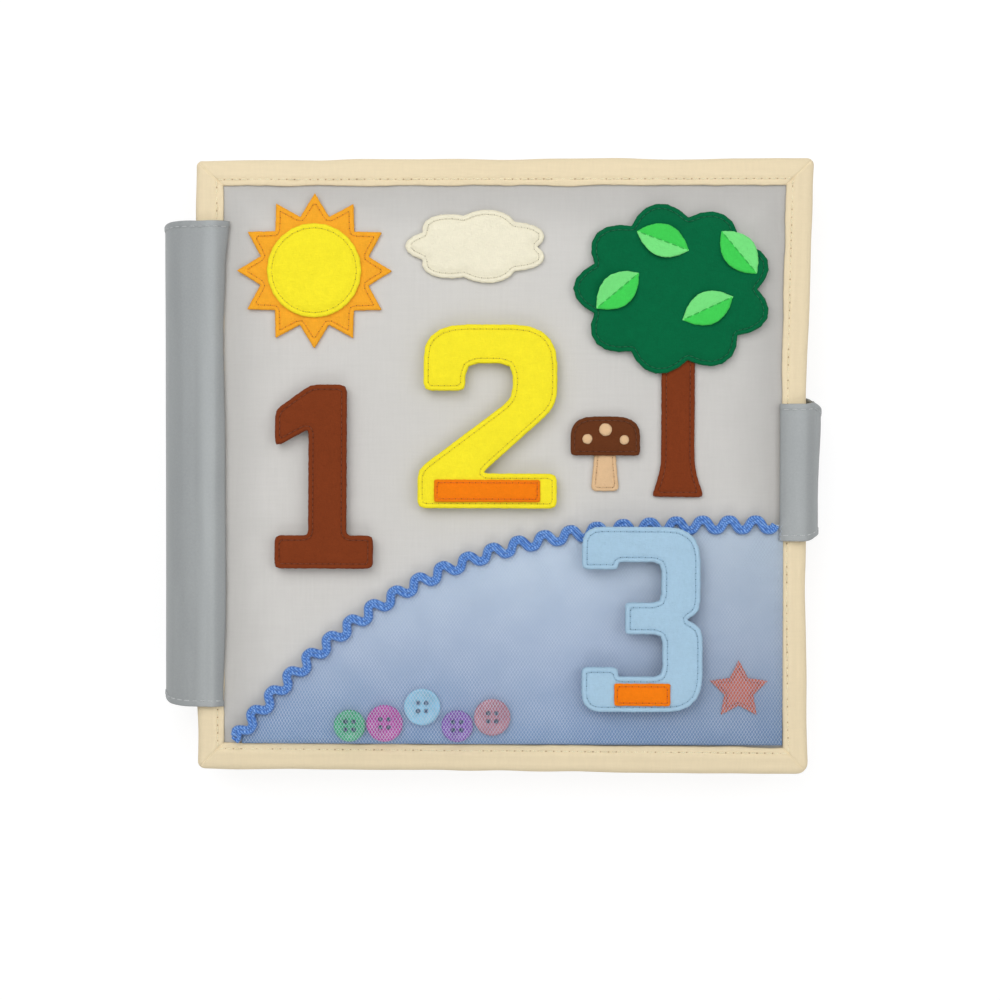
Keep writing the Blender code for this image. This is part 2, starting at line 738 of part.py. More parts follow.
def button_mesh(name, diameter):
    """Half a button's section, from the middle of its dish round its rim to its back."""
    radius = diameter / 2
    half = BUTTON_THICK / 2
    profile = (
        (0, half - BUTTON_DISH),
        (radius - BUTTON_RIM - BUTTON_ROUND, half - BUTTON_DISH),
        (radius - BUTTON_RIM, half),
        (radius - BUTTON_ROUND, half),
        (radius, half - BUTTON_ROUND),
        (radius, BUTTON_ROUND - half),
        (radius - BUTTON_ROUND, -half),
        (0, -half),
    )
    bm = bmesh.new()
    verts = [bm.verts.new((x, 0, z)) for x, z in profile]
    for first, second in zip(verts, verts[1:]):
        bm.edges.new((first, second))
    mesh = bpy.data.meshes.new(name)
    bm.to_mesh(mesh)
    bm.free()
    return mesh


def hole_mesh(name):
    """Four thread holes' cutter in a square."""
    bm = bmesh.new()
    for side_x in (-1, 1):
        for side_y in (-1, 1):
            made = bmesh.ops.create_cone(
                bm, cap_ends=True, segments=HOLE_SIDES, radius1=BUTTON_HOLE / 2,
                radius2=BUTTON_HOLE / 2, depth=BUTTON_THICK + OVERRUN,
            )
            offset = (side_x * BUTTON_HOLE_PITCH / 2, side_y * BUTTON_HOLE_PITCH / 2, 0)
            bmesh.ops.translate(bm, vec=offset, verts=made["verts"])
    mesh = bpy.data.meshes.new(name)
    bm.to_mesh(mesh)
    bm.free()
    return mesh


button_left = BUTTON_ROW_LEFT
button_z = MESH_FOOT + BUTTON_THICK / 2
for button_name, diameter, lift, colour in BUTTONS:
    radius = diameter / 2
    button_x = button_left + radius
    button_left += diameter + CLEAR
    button_y = POCKET_FLOOR + radius + BUTTON_GAP + lift * radius
    add_body(button_name, "front_cover", button_x, button_y, button_z)
    button = add_piece(
        button_name, button_mesh(button_name, diameter), button_name,
        button_x, button_y, button_z, colour, 0.3,
    )
    turn = button.modifiers.new("turned", "SCREW")
    turn.angle = 2 * math.pi
    turn.steps = BUTTON_SIDES
    turn.render_steps = BUTTON_SIDES
    turn.use_merge_vertices = True
    turn.merge_threshold = MERGE
    cut(button, add_cutter(button_name + "_holes", hole_mesh(button_name), button_x, button_y, button_z))


# Numerals

def add_numeral(name, shares, width, x, y, foot, colour):
    """Two layers of felt on a hook patch, which grips a loop patch sewn to the page."""
    body = name
    add_body(body, "front_cover", x, y, foot)
    patch_y = y - NUMERAL_HEIGHT * FOOT_BAR_DROP_SHARE
    patch = rounded(BLOCK_SHARES, PATCH_WIDTH, PATCH_HEIGHT, -PATCH_WIDTH / 2, -PATCH_HEIGHT / 2)
    felt(name + "_loop_patch", patch, PATCH, "front_cover", x, patch_y, foot, HOOK_WHITE)
    level = foot + PATCH + CLEAR
    felt(name + "_hook_patch", patch, PATCH, body, x, patch_y, level, HOOK_WHITE)
    outline = rounded(shares, width, NUMERAL_HEIGHT, -width / 2, -NUMERAL_HEIGHT / 2)
    level += PATCH + CLEAR
    felt(name + "_backing", outline, FELT, body, x, y, level, colour)
    level += FELT + CLEAR
    felt(name, outline, FELT, body, x, y, level, colour)
    return level + FELT + CLEAR


def add_band(name, body, x, y, foot, length):
    """A felt bar sewn across a numeral's foot."""
    outline = rounded(BLOCK_SHARES, length, BAND_HEIGHT, -length / 2, -BAND_HEIGHT / 2)
    felt(name, outline, INLAY, body, x, y - NUMERAL_HEIGHT * FOOT_BAR_DROP_SHARE, foot, ORANGE)


one_width = NUMERAL_WIDTH * NUMERAL_ONE_WIDTH_SHARE
one_x = NUMERAL_ONE_X_SHARE * WINDOW_HALF
one_y = pocket_top(one_x + one_width / 2) + NUMERAL_ONE_GAP + NUMERAL_HEIGHT / 2
add_numeral("numeral_one", ONE_SHARES, one_width, one_x, one_y, FELT_FOOT, BROWN)

two_x = NUMERAL_TWO_X_SHARE * WINDOW_HALF
two_y = pocket_top(two_x + NUMERAL_WIDTH / 2) + NUMERAL_TWO_GAP + NUMERAL_HEIGHT / 2
two_top = add_numeral("numeral_two", TWO_SHARES, NUMERAL_WIDTH, two_x, two_y, FELT_FOOT, YELLOW)
add_band("numeral_two_band", "numeral_two", two_x, two_y, two_top, BAND_LENGTH)

three_width = NUMERAL_WIDTH * NUMERAL_THREE_WIDTH_SHARE
three_x, three_y = window(NUMERAL_THREE_PLACE_SHARE)
three_foot = MESH_FOOT + LOW_BULGE + MESH + CLEAR
three_top = add_numeral("numeral_three", THREE_SHARES, three_width, three_x, three_y, three_foot, PALE_BLUE)
add_band("numeral_three_band", "numeral_three", three_x, three_y, three_top, SHORT_BAND_LENGTH)


# Scenery

def circle(diameter):
    count = BUTTON_SIDES
    turn = 2 * math.pi / count
    return [(diameter / 2 * math.cos(turn * i), diameter / 2 * math.sin(turn * i)) for i in range(count)]


sun_x, sun_y = window(SUN_PLACE_SHARE)
rays = star(SUN_RAY_COUNT, SUN_RAYS / 2, RAY_FOOT_SHARE)
felt("sun_rays", rays, FELT, "front_cover", sun_x, sun_y, FELT_FOOT, AMBER)
felt("sun_disc", circle(SUN), FELT, "front_cover", sun_x, sun_y, UPPER_FOOT, YELLOW)

cloud_x, cloud_y = window(CLOUD_PLACE_SHARE)
cloud = scalloped(CLOUD_WIDTH, CLOUD_HEIGHT, CLOUD_LOBES)
felt("cloud", cloud, FELT, "front_cover", cloud_x, cloud_y, FELT_FOOT, OFF_WHITE)

crown_x, crown_y = window(CROWN_PLACE_SHARE)
crown = scalloped(CROWN_WIDTH, CROWN_HEIGHT, CROWN_LOBES)
felt("tree_crown", crown, FELT, "front_cover", crown_x, crown_y, UPPER_FOOT, DARK_GREEN)
trunk_x = TRUNK_X_SHARE * WINDOW_HALF
trunk_y = pocket_top(trunk_x) + TRUNK_GAP
trunk_top = crown_y - CROWN_HEIGHT / 2 + TRUNK_TUCK
trunk = rounded(TRUNK_SHARES, TRUNK_WIDTH, trunk_top - trunk_y)
felt("tree_trunk", trunk, FELT, "front_cover", trunk_x, trunk_y, FELT_FOOT, DARK_BROWN)
for index, ((share_x, share_y), lean) in enumerate(zip(SPRIG_PLACE_SHARES, SPRIG_LEANS)):
    sprig_x = crown_x + share_x * CROWN_WIDTH / 2
    sprig_y = crown_y + share_y * CROWN_HEIGHT / 2
    sprig = felt(
        f"tree_leaf_{index + 1}", pointed_oval(SPRIG_LENGTH, SPRIG_WIDTH), INLAY, "front_cover",
        sprig_x, sprig_y, UPPER_FOOT + FELT + CLEAR, LEAF_GREEN,
    )
    sprig.rotation_euler.z = math.radians(lean)

stalk_x = STALK_X_SHARE * WINDOW_HALF
stalk_y = pocket_top(stalk_x) + STALK_GAP
stalk = rounded(STALK_SHARES, STALK_WIDTH, STALK_HEIGHT)
felt("mushroom_stalk", stalk, FELT, "front_cover", stalk_x, stalk_y, FELT_FOOT, FELT_CREAM)
cap = rounded(CAP_SHARES, CAP_WIDTH, CAP_HEIGHT)
cap_y = stalk_y + STALK_HEIGHT - CAP_OVERLAP
felt("mushroom_cap", cap, FELT, "front_cover", stalk_x, cap_y, UPPER_FOOT, BROWN)

star_x, star_y = window(STARFISH_PLACE_SHARE)
fish = star(STARFISH_POINTS, STARFISH / 2, STAR_FOOT_SHARE)
felt("starfish", fish, INLAY, "front_cover", star_x, star_y, MESH_FOOT, SALMON)

bpy.context.view_layer.update()
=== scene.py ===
"""The looks of the closed quiet book: cloth leaves, taped edges, soft spine, felt counting page.

Everything is in metres in the model's own frame. Sizes come from the model's solids.
"""
import math

import bmesh
import bpy
import numpy as np
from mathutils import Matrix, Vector, geometry, noise
from mathutils.bvhtree import BVHTree
from mathutils.kdtree import KDTree


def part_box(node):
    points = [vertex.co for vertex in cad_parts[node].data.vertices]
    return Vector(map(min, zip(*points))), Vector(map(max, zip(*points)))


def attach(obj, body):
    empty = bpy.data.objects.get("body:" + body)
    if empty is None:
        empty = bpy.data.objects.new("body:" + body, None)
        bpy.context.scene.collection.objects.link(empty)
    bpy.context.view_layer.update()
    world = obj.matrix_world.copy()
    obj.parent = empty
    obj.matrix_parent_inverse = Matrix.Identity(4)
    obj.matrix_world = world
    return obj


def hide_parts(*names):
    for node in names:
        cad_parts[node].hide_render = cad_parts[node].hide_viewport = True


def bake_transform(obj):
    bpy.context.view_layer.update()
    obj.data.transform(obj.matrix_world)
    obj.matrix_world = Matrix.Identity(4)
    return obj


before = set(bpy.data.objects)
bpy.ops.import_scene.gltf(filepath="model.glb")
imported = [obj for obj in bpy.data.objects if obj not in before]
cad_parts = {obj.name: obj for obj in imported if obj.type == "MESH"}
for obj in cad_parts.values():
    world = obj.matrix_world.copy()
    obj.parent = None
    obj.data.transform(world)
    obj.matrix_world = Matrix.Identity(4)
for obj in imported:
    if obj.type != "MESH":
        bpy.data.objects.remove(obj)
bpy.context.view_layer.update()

MM = 0.001
UP = Vector((0, 0, 1))

# Sizes read from the solids
PAGE_LOW, PAGE_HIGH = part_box("front_cover_binding")
PAGE_X = (PAGE_LOW.x + PAGE_HIGH.x) / 2
HALF_PAGE = (PAGE_HIGH.x - PAGE_LOW.x) / 2
HALF_LEAF = (PAGE_HIGH.z - PAGE_LOW.z) / 2
PAGE_FACE = PAGE_HIGH.z
HINGE_X, FORE_X = PAGE_X - HALF_PAGE, PAGE_X + HALF_PAGE
STACK_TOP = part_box("spine_front_flap")[1].z

# Sizes of the cloth
BAND = 9.0 * MM
TAPE = 0.9 * MM
CLEAR = 0.3 * MM
PUFF = 10.0 * MM
SLEEVE = 1.0 * MM
SEAM_INSET = 2.2 * MM
WINDOW = HALF_PAGE - BAND
PANEL_HALF = HALF_PAGE - TAPE - CLEAR
LEAVES = ("back_cover", "leaf_3", "leaf_2", "front_cover")
COVER = "front_cover"


# Node materials

def add_node(tree, kind, inputs=(), **settings):
    """A node with its settings, and each input given as a value or as a socket to link."""
    made = tree.nodes.new(kind)
    for key, value in settings.items():
        setattr(made, key, value)
    for key, value in dict(inputs).items():
        if isinstance(value, bpy.types.NodeSocket):
            tree.links.new(value, made.inputs[key])
        else:
            made.inputs[key].default_value = value
    return made


def srgb(red, green, blue):
    """Linear values of a colour written 0 to 255."""
    return tuple(
        c / 12.92 if c <= 0.04045 else ((c + 0.055) / 1.055) ** 2.4
        for c in (red / 255, green / 255, blue / 255)
    )


def shade(colour, amount):
    return tuple(min(1.0, c * amount) for c in colour)


class Look:
    """A node material being built. Most of its methods return a socket."""

    def __init__(self, name):
        self.surface = bpy.data.materials.new(name)
        self.surface.use_nodes = True
        self.tree = self.surface.node_tree
        self.shader = self.tree.nodes["Principled BSDF"]
        self.spot = add_node(self.tree, "ShaderNodeTexCoord").outputs["Object"]

    def axis(self, letter):
        return add_node(self.tree, "ShaderNodeSeparateXYZ", {"Vector": self.spot}).outputs[letter]

    def noise(self, scale, detail=2.0, roughness=0.5, stretch=None, turn=0.0):
        """Noise, its coordinates stretched along each axis and turned about Z where that is asked."""
        source = self.spot
        if stretch:
            source = add_node(self.tree, "ShaderNodeMapping", {
                "Vector": source, "Scale": stretch, "Rotation": (0, 0, turn),
            }).outputs["Vector"]
        return add_node(self.tree, "ShaderNodeTexNoise", {
            "Vector": source, "Scale": scale, "Detail": detail, "Roughness": roughness,
        }).outputs["Fac"]

    def wave(self, pitch, direction, distortion, detail):
        return add_node(self.tree, "ShaderNodeTexWave", {
            "Vector": self.spot, "Scale": math.pi / 10 / pitch, "Distortion": distortion, "Detail": detail,
        }, bands_direction=direction).outputs["Fac"]

    def weave(self, pitch):
        """Crossing threads of a plain weave."""
        return self.total((self.wave(pitch, "X", 0.6, 1.0), 1), (self.wave(pitch, "Y", 0.6, 1.0), 1))

    def maths(self, operation, first, second=0.0):
        return add_node(self.tree, "ShaderNodeMath", {0: first, 1: second}, operation=operation).outputs[0]

    def total(self, *terms):
        """The sum of sockets, each with its weight."""
        parts = [s if weight == 1 else self.maths("MULTIPLY", s, weight) for s, weight in terms]
        whole = parts[0]
        for part in parts[1:]:
            whole = self.maths("ADD", whole, part)
        return whole

    def spread(self, value, low, high, first=0.0, last=1.0, **settings):
        """A value mapped from the range low to high onto the range first to last."""
        return add_node(self.tree, "ShaderNodeMapRange", {
            "Value": value, "From Min": low, "From Max": high, "To Min": first, "To Max": last,
        }, **settings).outputs["Result"]

    def ramp(self, factor, *stops):
        """A colour ramp from (place, colour) pairs."""
        made = add_node(self.tree, "ShaderNodeValToRGB", {"Fac": factor})
        elements = made.color_ramp.elements
        while len(elements) < len(stops):
            elements.new(0.5)
        for element, (place, colour) in zip(elements, stops):
            element.position = place
            element.color = (*colour, 1.0)
        return made.outputs["Color"]

    def tint(self, factor, *stops):
        """Colours the surface by a ramp over a factor."""
        self.tree.links.new(self.ramp(factor, *stops), self.shader.inputs["Base Color"])

    def darken(self, factor):
        """Multiplies the colour by a socket's value."""
        base = self.shader.inputs["Base Color"]
        mixed = add_node(self.tree, "ShaderNodeMix", {"Factor": 1.0}, data_type="RGBA", blend_type="MULTIPLY")
        self.tree.links.new(base.links[0].from_socket, mixed.inputs["A"])
        self.tree.links.new(factor, mixed.inputs["B"])
        self.tree.links.new(mixed.outputs["Result"], base)

    def paint_edge_shade(self, reach, amount):
        """Painted shade: a little darker towards the page's padded edges, where the cloth curves down."""
        across = self.maths("ABSOLUTE", self.maths("SUBTRACT", self.axis("X"), PAGE_X))
        up = self.maths("ABSOLUTE", self.axis("Y"))
        gap = self.maths("SUBTRACT", WINDOW, self.maths("MAXIMUM", across, up))
        uneven = self.maths("ADD", self.maths("MULTIPLY", self.noise(40.0), reach), reach * 0.5)
        self.darken(self.spread(gap, 0.0, uneven, 1 - amount, 1.0, interpolation_type="SMOOTHSTEP"))

    def paint_side_shade(self, amount):
        """Painted shade: a little darker towards the page's fore-edge, where the cloth turns away from the
        light.
        """
        self.darken(self.spread(self.axis("X"), PAGE_X + 25 * MM, PAGE_X + WINDOW, 1.0, 1 - amount))

    def bump(self, height, distance, strength):
        made = add_node(
            self.tree, "ShaderNodeBump", {"Height": height, "Distance": distance, "Strength": strength},
        )
        self.tree.links.new(made.outputs["Normal"], self.shader.inputs["Normal"])

    def done(self, roughness, levels=()):
        """The finished material, with the shader's constants set on its own sockets."""
        self.shader.inputs["Roughness"].default_value = roughness
        for key, value in dict(levels).items():
            self.shader.inputs[key].default_value = value
        return self.surface


def cotton(name, colour, pitch, contrast, on_page=False):
    """Plain woven cotton: threads, uneven yarn and a slow drift of tone, with painted shade towards a page's
    edges.
    """
    look = Look(name)
    threads = look.weave(pitch)
    slubs = look.total(
        (look.noise(1.0, stretch=(90, 1400, 900)), 1), (look.noise(1.0, stretch=(1400, 90, 900)), 1),
    )
    tone = look.total((slubs, 0.42), (look.noise(28.0, 3.0), 0.35), (threads, 0.05))
    look.tint(tone, (0.34, shade(colour, 1 - contrast)), (0.86, shade(colour, 1 + contrast * 0.5)))
    # Painted shade on a page: darker towards its padded edges and towards its fore-edge.
    if on_page:
        look.paint_edge_shade(22 * MM, 0.17)
        look.paint_side_shade(0.07)
    look.bump(look.total((threads, 1), (slubs, 1.4)), 0.05 * MM, 0.55)
    return look.done(0.85, {"Sheen Weight": 0.05, "Sheen Roughness": 0.5, "Specular IOR Level": 0.2})


def felt_surface(name, colour, contrast):
    """Pressed wool felt: tangled fibres at two sizes, with darker pits."""
    look = Look(name)
    tangle = look.total(
        (look.noise(1.0, 3.0, 0.6, (700, 2600, 1200), 0.6), 1),
        (look.noise(1.0, 3.0, 0.6, (2600, 700, 1200), 0.5), 1),
    )
    clumps = look.noise(330.0, 4.0, 0.6)
    tone = look.total((tangle, 0.3), (clumps, 0.3), (look.noise(60.0), 0.2))
    look.tint(tone, (0.30, shade(colour, 1 - contrast)), (0.52, colour), (0.72, shade(colour, 1 + contrast)))
    look.bump(look.total((tangle, 1), (clumps, 1.5)), 0.28 * MM, 0.7)
    return look.done(0.95, {"Sheen Weight": 0.04, "Sheen Roughness": 0.6, "Specular IOR Level": 0.05})


def thread_surface(name, colour):
    """Twisted sewing thread."""
    look = Look(name)
    twist = look.wave(0.35 * MM, "DIAGONAL", 1.0, 2.0)
    look.tint(twist, (0.0, shade(colour, 0.78)), (1.0, colour))
    look.bump(twist, 0.08 * MM, 0.6)
    return look.done(0.6)


# Painted shade and highlight of the grey cloth's rolls and folds: its tone at places across the book, in
# millimetres from the page's middle
FOLD_SHADE_TONES = (
    (-123.0, 0.92), (-119.0, 0.85), (-111.0, 0.86), (-107.6, 1.02), (-105.0, 1.02), (-103.0, 0.80),
    (-99.0, 0.80), (-97.0, 1.0), (98.0, 0.82), (100.5, 0.84), (102.6, 0.97), (106.0, 1.04),
    (108.0, 1.0), (109.6, 0.82), (110.8, 0.82), (112.4, 0.95), (113.4, 0.96), (114.8, 0.84),
)


def sleeve_surface(name):
    """Smooth close-woven cloth with a slight sheen."""
    look = Look(name)
    drift = look.noise(1.0, 3.0, stretch=(60, 14, 60))
    tone = look.total((drift, 0.7), (look.noise(1500.0), 0.3))
    look.tint(tone, (0.3, srgb(157, 161, 162)), (0.7, srgb(173, 177, 177)))
    # Painted shade and highlight across the sleeve and strap, where their rolls and folds turn to and from
    # the light
    low, high = FOLD_SHADE_TONES[0][0], FOLD_SHADE_TONES[-1][0]
    share = look.spread(look.axis("X"), PAGE_X + low * MM, PAGE_X + high * MM)
    look.darken(look.ramp(share, *(((x - low) / (high - low), (t, t, t)) for x, t in FOLD_SHADE_TONES)))
    look.bump(look.total((look.weave(0.32 * MM), 0.5), (drift, 2.0)), 0.10 * MM, 0.35)
    return look.done(0.52, {"Sheen Weight": 0.15, "Specular IOR Level": 0.35})


def pocket_cloth_surface(name):
    """The cloth behind the mesh, paler towards the pocket's curved mouth."""
    look = Look(name)
    drift = look.maths("SUBTRACT", look.noise(30.0), 0.5)
    share = look.total((look.spread(look.axis("Y"), -WINDOW, -20.0 * MM), 1), (drift, 0.25))
    look.tint(share, (0.0, srgb(120, 152, 194)), (0.45, srgb(178, 195, 219)), (1.0, srgb(210, 225, 238)))
    # Painted shade: darker towards the page's fore-edge.
    look.paint_side_shade(0.15)
    look.bump(look.weave(0.5 * MM), 0.08 * MM, 0.5)
    return look.done(0.8)


def net_surface(name):
    """Thin pale blue synthetic strands."""
    look = Look(name)
    look.tint(look.noise(90.0), (0.35, srgb(188, 203, 222)), (0.65, srgb(208, 219, 234)))
    # Painted shade: darker towards the page's fore-edge.
    look.paint_side_shade(0.15)
    look.bump(look.noise(4000.0, 1.0), 0.05 * MM, 0.4)
    return look.done(0.45)


def yarn_surface(name):
    """Blue braided yarn in two close tones, with a paler tone that paints highlights on it."""
    look = Look(name)
    tone = look.total((look.wave(0.6 * MM, "DIAGONAL", 2.0, 1.0), 0.45), (look.noise(900.0, 3.0), 0.55))
    # The palest stop is a painted highlight on the yarn.
    look.tint(tone, (0.25, srgb(50, 100, 180)), (0.55, srgb(78, 134, 208)), (0.85, srgb(150, 186, 232)))
    look.bump(tone, 0.25 * MM, 0.7)
    return look.done(0.7, {"Sheen Weight": 0.2})


def button_surface(name, colour):
    """Cast plastic with a faint cloud in it and fine scuffs."""
    look = Look(name)
    look.tint(look.noise(260.0, 3.0), (0.3, shade(colour, 0.86)), (0.7, shade(colour, 1.1)))
    look.bump(look.noise(1800.0), 0.03 * MM, 0.3)
    return look.done(0.28, {
        "Coat Weight": 0.3, "Coat Roughness": 0.15, "Subsurface Weight": 0.15,
        "Subsurface Radius": (2 * MM, 2 * MM, 2 * MM),
    })


def hook_surface(name):
    """Hook and loop tape: rows of tiny hooks on a woven ground."""
    look = Look(name)
    dots = add_node(
        look.tree, "ShaderNodeTexVoronoi", {"Vector": look.spot, "Scale": 900.0, "Randomness": 0.35},
    ).outputs["Distance"]
    look.tint(dots, (0.1, srgb(236, 232, 222)), (0.6, srgb(196, 192, 182)))
    look.bump(dots, 0.4 * MM, 0.8)
    return look.done(0.8)


# Each felt's colour, contrast, thread, and the darker needle prick that paints the shade in its holes
FELTS = {
    "brown": ((124, 56, 26), 0.13, (134, 66, 34), (78, 34, 20)),
    "dark_brown": ((101, 54, 28), 0.13, (112, 62, 34), (58, 30, 18)),
    "yellow": ((246, 230, 44), 0.08, (240, 224, 44), (176, 160, 40)),
    "amber": ((243, 168, 44), 0.10, (238, 162, 42), (176, 112, 30)),
    "orange": ((243, 125, 15), 0.10, (238, 118, 16), (176, 82, 14)),
    "pale_blue": ((166, 198, 220), 0.08, (160, 194, 216), (112, 142, 166)),
    "dark_green": ((2, 100, 60), 0.13, (8, 110, 70), (4, 66, 44)),
    "leaf_green": ((66, 206, 84), 0.10, (60, 192, 82), (40, 140, 60)),
    "cream": ((224, 188, 146), 0.08, (218, 182, 140), (168, 132, 96)),
    "white": ((238, 232, 208), 0.07, (232, 226, 204), (190, 182, 158)),
    "salmon": ((208, 118, 98), 0.10, (196, 108, 90), (150, 78, 66)),
}
PLASTICS = {
    "green": (66, 178, 128), "magenta": (190, 74, 168), "blue": (150, 206, 232),
    "purple": (138, 88, 184), "pink": (186, 124, 140),
}
FINISH = {
    "binding": cotton("binding_cotton", srgb(234, 217, 182), 0.4 * MM, 0.05),
    "page_cotton": cotton("page_canvas", srgb(208, 206, 202), 0.42 * MM, 0.04, on_page=True),
    "sleeve_cotton": sleeve_surface("sleeve_cloth"),
    "hook_tape": hook_surface("hook_and_loop"),
    "pocket_cotton": pocket_cloth_surface("pocket_cloth"),
    "mesh": net_surface("net_strand"),
    "trim": yarn_surface("trim_yarn"),
}
THREAD, PRICK_SHADE = {}, {}
for felt, (tone, contrast, thread_tone, prick_shade_tone) in FELTS.items():
    FINISH[f"felt_{felt}"] = felt_surface(f"{felt}_felt", srgb(*tone), contrast)
    THREAD[f"felt_{felt}"] = thread_surface(f"{felt}_thread", srgb(*thread_tone))
    # Each felt's needle pricks take a darker thread colour: painted shade in the needle holes.
    PRICK_SHADE[f"felt_{felt}"] = thread_surface(f"{felt}_prick", srgb(*prick_shade_tone))
for plastic, tone in PLASTICS.items():
    FINISH[f"button_{plastic}"] = button_surface(f"{plastic}_plastic", srgb(*tone))
LEAF_PALE = felt_surface("leaf_green_felt_pale", srgb(120, 226, 128), 0.08)
TAPE_THREAD = thread_surface("pale_thread", srgb(252, 240, 205))
# Painted shade in the tape's needle holes.
TAPE_PRICK_SHADE = thread_surface("needle_hole_shade", srgb(202, 177, 137))
GREY_THREAD = thread_surface("grey_thread", srgb(194, 197, 197))
BLUE_THREAD = thread_surface("blue_thread", srgb(92, 132, 190))


# Meshes

def placed(name, data):
    """A new object in the scene."""
    made = bpy.data.objects.new(name, data)
    bpy.context.scene.collection.objects.link(made)
    return made


def mesh_object(name, points, faces, surface, smooth=True):
    """An object from points and faces in the model's frame."""
    mesh = bpy.data.meshes.new(name)
    mesh.from_pydata([tuple(p) for p in points], [], faces)
    mesh.update()
    mesh.materials.append(surface)
    if smooth:
        mesh.shade_smooth()
    return placed(name, mesh)


def quads(columns, rows, first=0, closed=False, flip=False):
    """Faces of a grid whose point (i, j) has the number first + i * rows + j."""
    faces = []
    for i in range(columns - 1):
        near, far = first + i * rows, first + (i + 1) * rows
        for j in range(rows if closed else rows - 1):
            k = (j + 1) % rows
            face = (near + j, far + j, far + k, near + k)
            faces.append(face[::-1] if flip else face)
    return faces


def tube(rings, sides, first=0, flip=False):
    """Faces of a row of rings, with a cap on each end."""
    start = tuple(range(first, first + sides))
    end = tuple(first + (rings - 1) * sides + k for k in range(sides - 1, -1, -1))
    caps = [start[::-1], end[::-1]] if flip else [start, end]
    return quads(rings, sides, first, True, flip) + caps


def slab(columns, rows, flip=False):
    """Faces of a closed sheet: a grid of upper points, the same grid of lower points, and the rim."""
    under = columns * rows
    faces = quads(columns, rows, 0, flip=flip) + quads(columns, rows, under, flip=not flip)
    last = (columns - 1) * rows
    rim = [i * rows for i in range(columns)] + [last + j for j in range(1, rows)]
    rim += [i * rows + rows - 1 for i in range(columns - 2, -1, -1)] + list(range(rows - 2, 0, -1))
    for a, b in zip(rim, rim[1:] + rim[:1]):
        face = (a, b, b + under, a + under)
        faces.append(face if flip else face[::-1])
    return faces


def wobble(x, y, size, seed):
    """Smooth noise from -1 to 1 with features of about size."""
    return noise.noise(Vector((x / size, y / size, seed)))


def ripple(x, y, seed, waves):
    """A sum of wobbles: each wave's size and height in millimetres, and what its seed adds."""
    return sum(height * MM * wobble(x, y, size * MM, seed + shift) for size, height, shift in waves)


def folds(s, y, waves):
    """A sum of soft folds: each one's height, size across and size along in millimetres, and seed."""
    return sum(
        height * MM * noise.noise(Vector((s / (across * MM), y / (along * MM), seed)))
        for height, across, along, seed in waves
    )


def smooth_step(t):
    t = min(1.0, max(0.0, t))
    return t * t * (3 - 2 * t)


def bell(x, width):
    """1 at nought, falling off to each side over about width."""
    return math.exp(-(x / width) ** 2)


def dress(piece, body, slot_name, *nodes):
    """Makes a piece ride on a body where one is given, and hides the solids it stands for; slot_name is not
    used.
    """
    if body:
        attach(piece, body)
    if nodes:
        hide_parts(*nodes)


# Runs of points, and the thread sewn along them

def reach_along(run):
    """The distance of each point of a run from its start."""
    reach = [0.0]
    for before, after in zip(run, run[1:]):
        reach.append(reach[-1] + (after - before).length)
    return reach


def point_at(run, reach, wanted):
    """The point at a distance along a run."""
    k = int(np.searchsorted(reach, wanted)) - 1
    k = min(max(k, 0), len(run) - 2)
    span = reach[k + 1] - reach[k]
    t = 0 if span == 0 else (wanted - reach[k]) / span
    return run[k].lerp(run[k + 1], min(1.0, max(0.0, t)))


def left_of(along):
    return Vector((-along.y, along.x))


# How far a seam draws the cloth down to each side
GROOVE_REACH = 0.6 * MM
PRICK_RISE, PRICK_DEPTH = 0.14 * MM, 0.2 * MM
OUTLINE_STEP = 0.5 * MM
STITCH_SIDES = 6
# Place along a stitch, thickness and lift of each of its rings
STITCH_RINGS = ((0.0, 0.35, -0.9), (0.18, 0.9, 0.15), (0.5, 1.0, 0.4), (0.82, 0.9, 0.15), (1.0, 0.35, -0.9))


def stitches(name, runs, surface, length, gap, radius, up=UP, ups=None):
    """Spindles of thread along runs. ups gives each point of a run its own upward direction."""
    points, faces = [], []
    for number, run in enumerate(runs):
        reach = reach_along(run)
        count = int(reach[-1] / (length + gap))
        for i in range(count):
            pitch = reach[-1] / count
            start = point_at(run, reach, i * pitch + gap / 2)
            end = point_at(run, reach, (i + 1) * pitch - gap / 2)
            if (end - start).length < length * 0.4:
                continue
            if ups:
                up = ups[number][int(np.searchsorted(reach, (i + 0.5) * pitch))]
            side = (end - start).cross(up).normalized()
            faces += tube(len(STITCH_RINGS), STITCH_SIDES, len(points))
            for share, swell, lift in STITCH_RINGS:
                centre = start.lerp(end, share) + up * (radius * lift)
                for k in range(STITCH_SIDES):
                    angle = 2 * math.pi * k / STITCH_SIDES
                    out = side * math.cos(angle) + up * math.sin(angle)
                    points.append(centre + out * (radius * swell))
    return mesh_object(name, points, faces, surface)


def needle_pricks(name, runs, surface, length, gap, radius, up=UP):
    """The small dark pricks between the stitches of the same runs: their dark colour paints the shade in the
    needle holes.
    """
    points, faces = [], []
    for run in runs:
        reach = reach_along(run)
        count = int(reach[-1] / (length + gap))
        for i in range(1, count):
            centre = point_at(run, reach, reach[-1] * i / count)
            first = len(points)
            for k in range(6):
                angle = math.pi * k / 3
                points.append(centre + Vector((math.cos(angle), math.sin(angle), 0)) * radius)
                after = first + (k + 1) % 6
                faces += [(first + k, after, first + 6), (after, first + k, first + 7)]
            points += [centre + up * PRICK_RISE, centre - up * PRICK_DEPTH]
    return mesh_object(name, points, faces, surface)


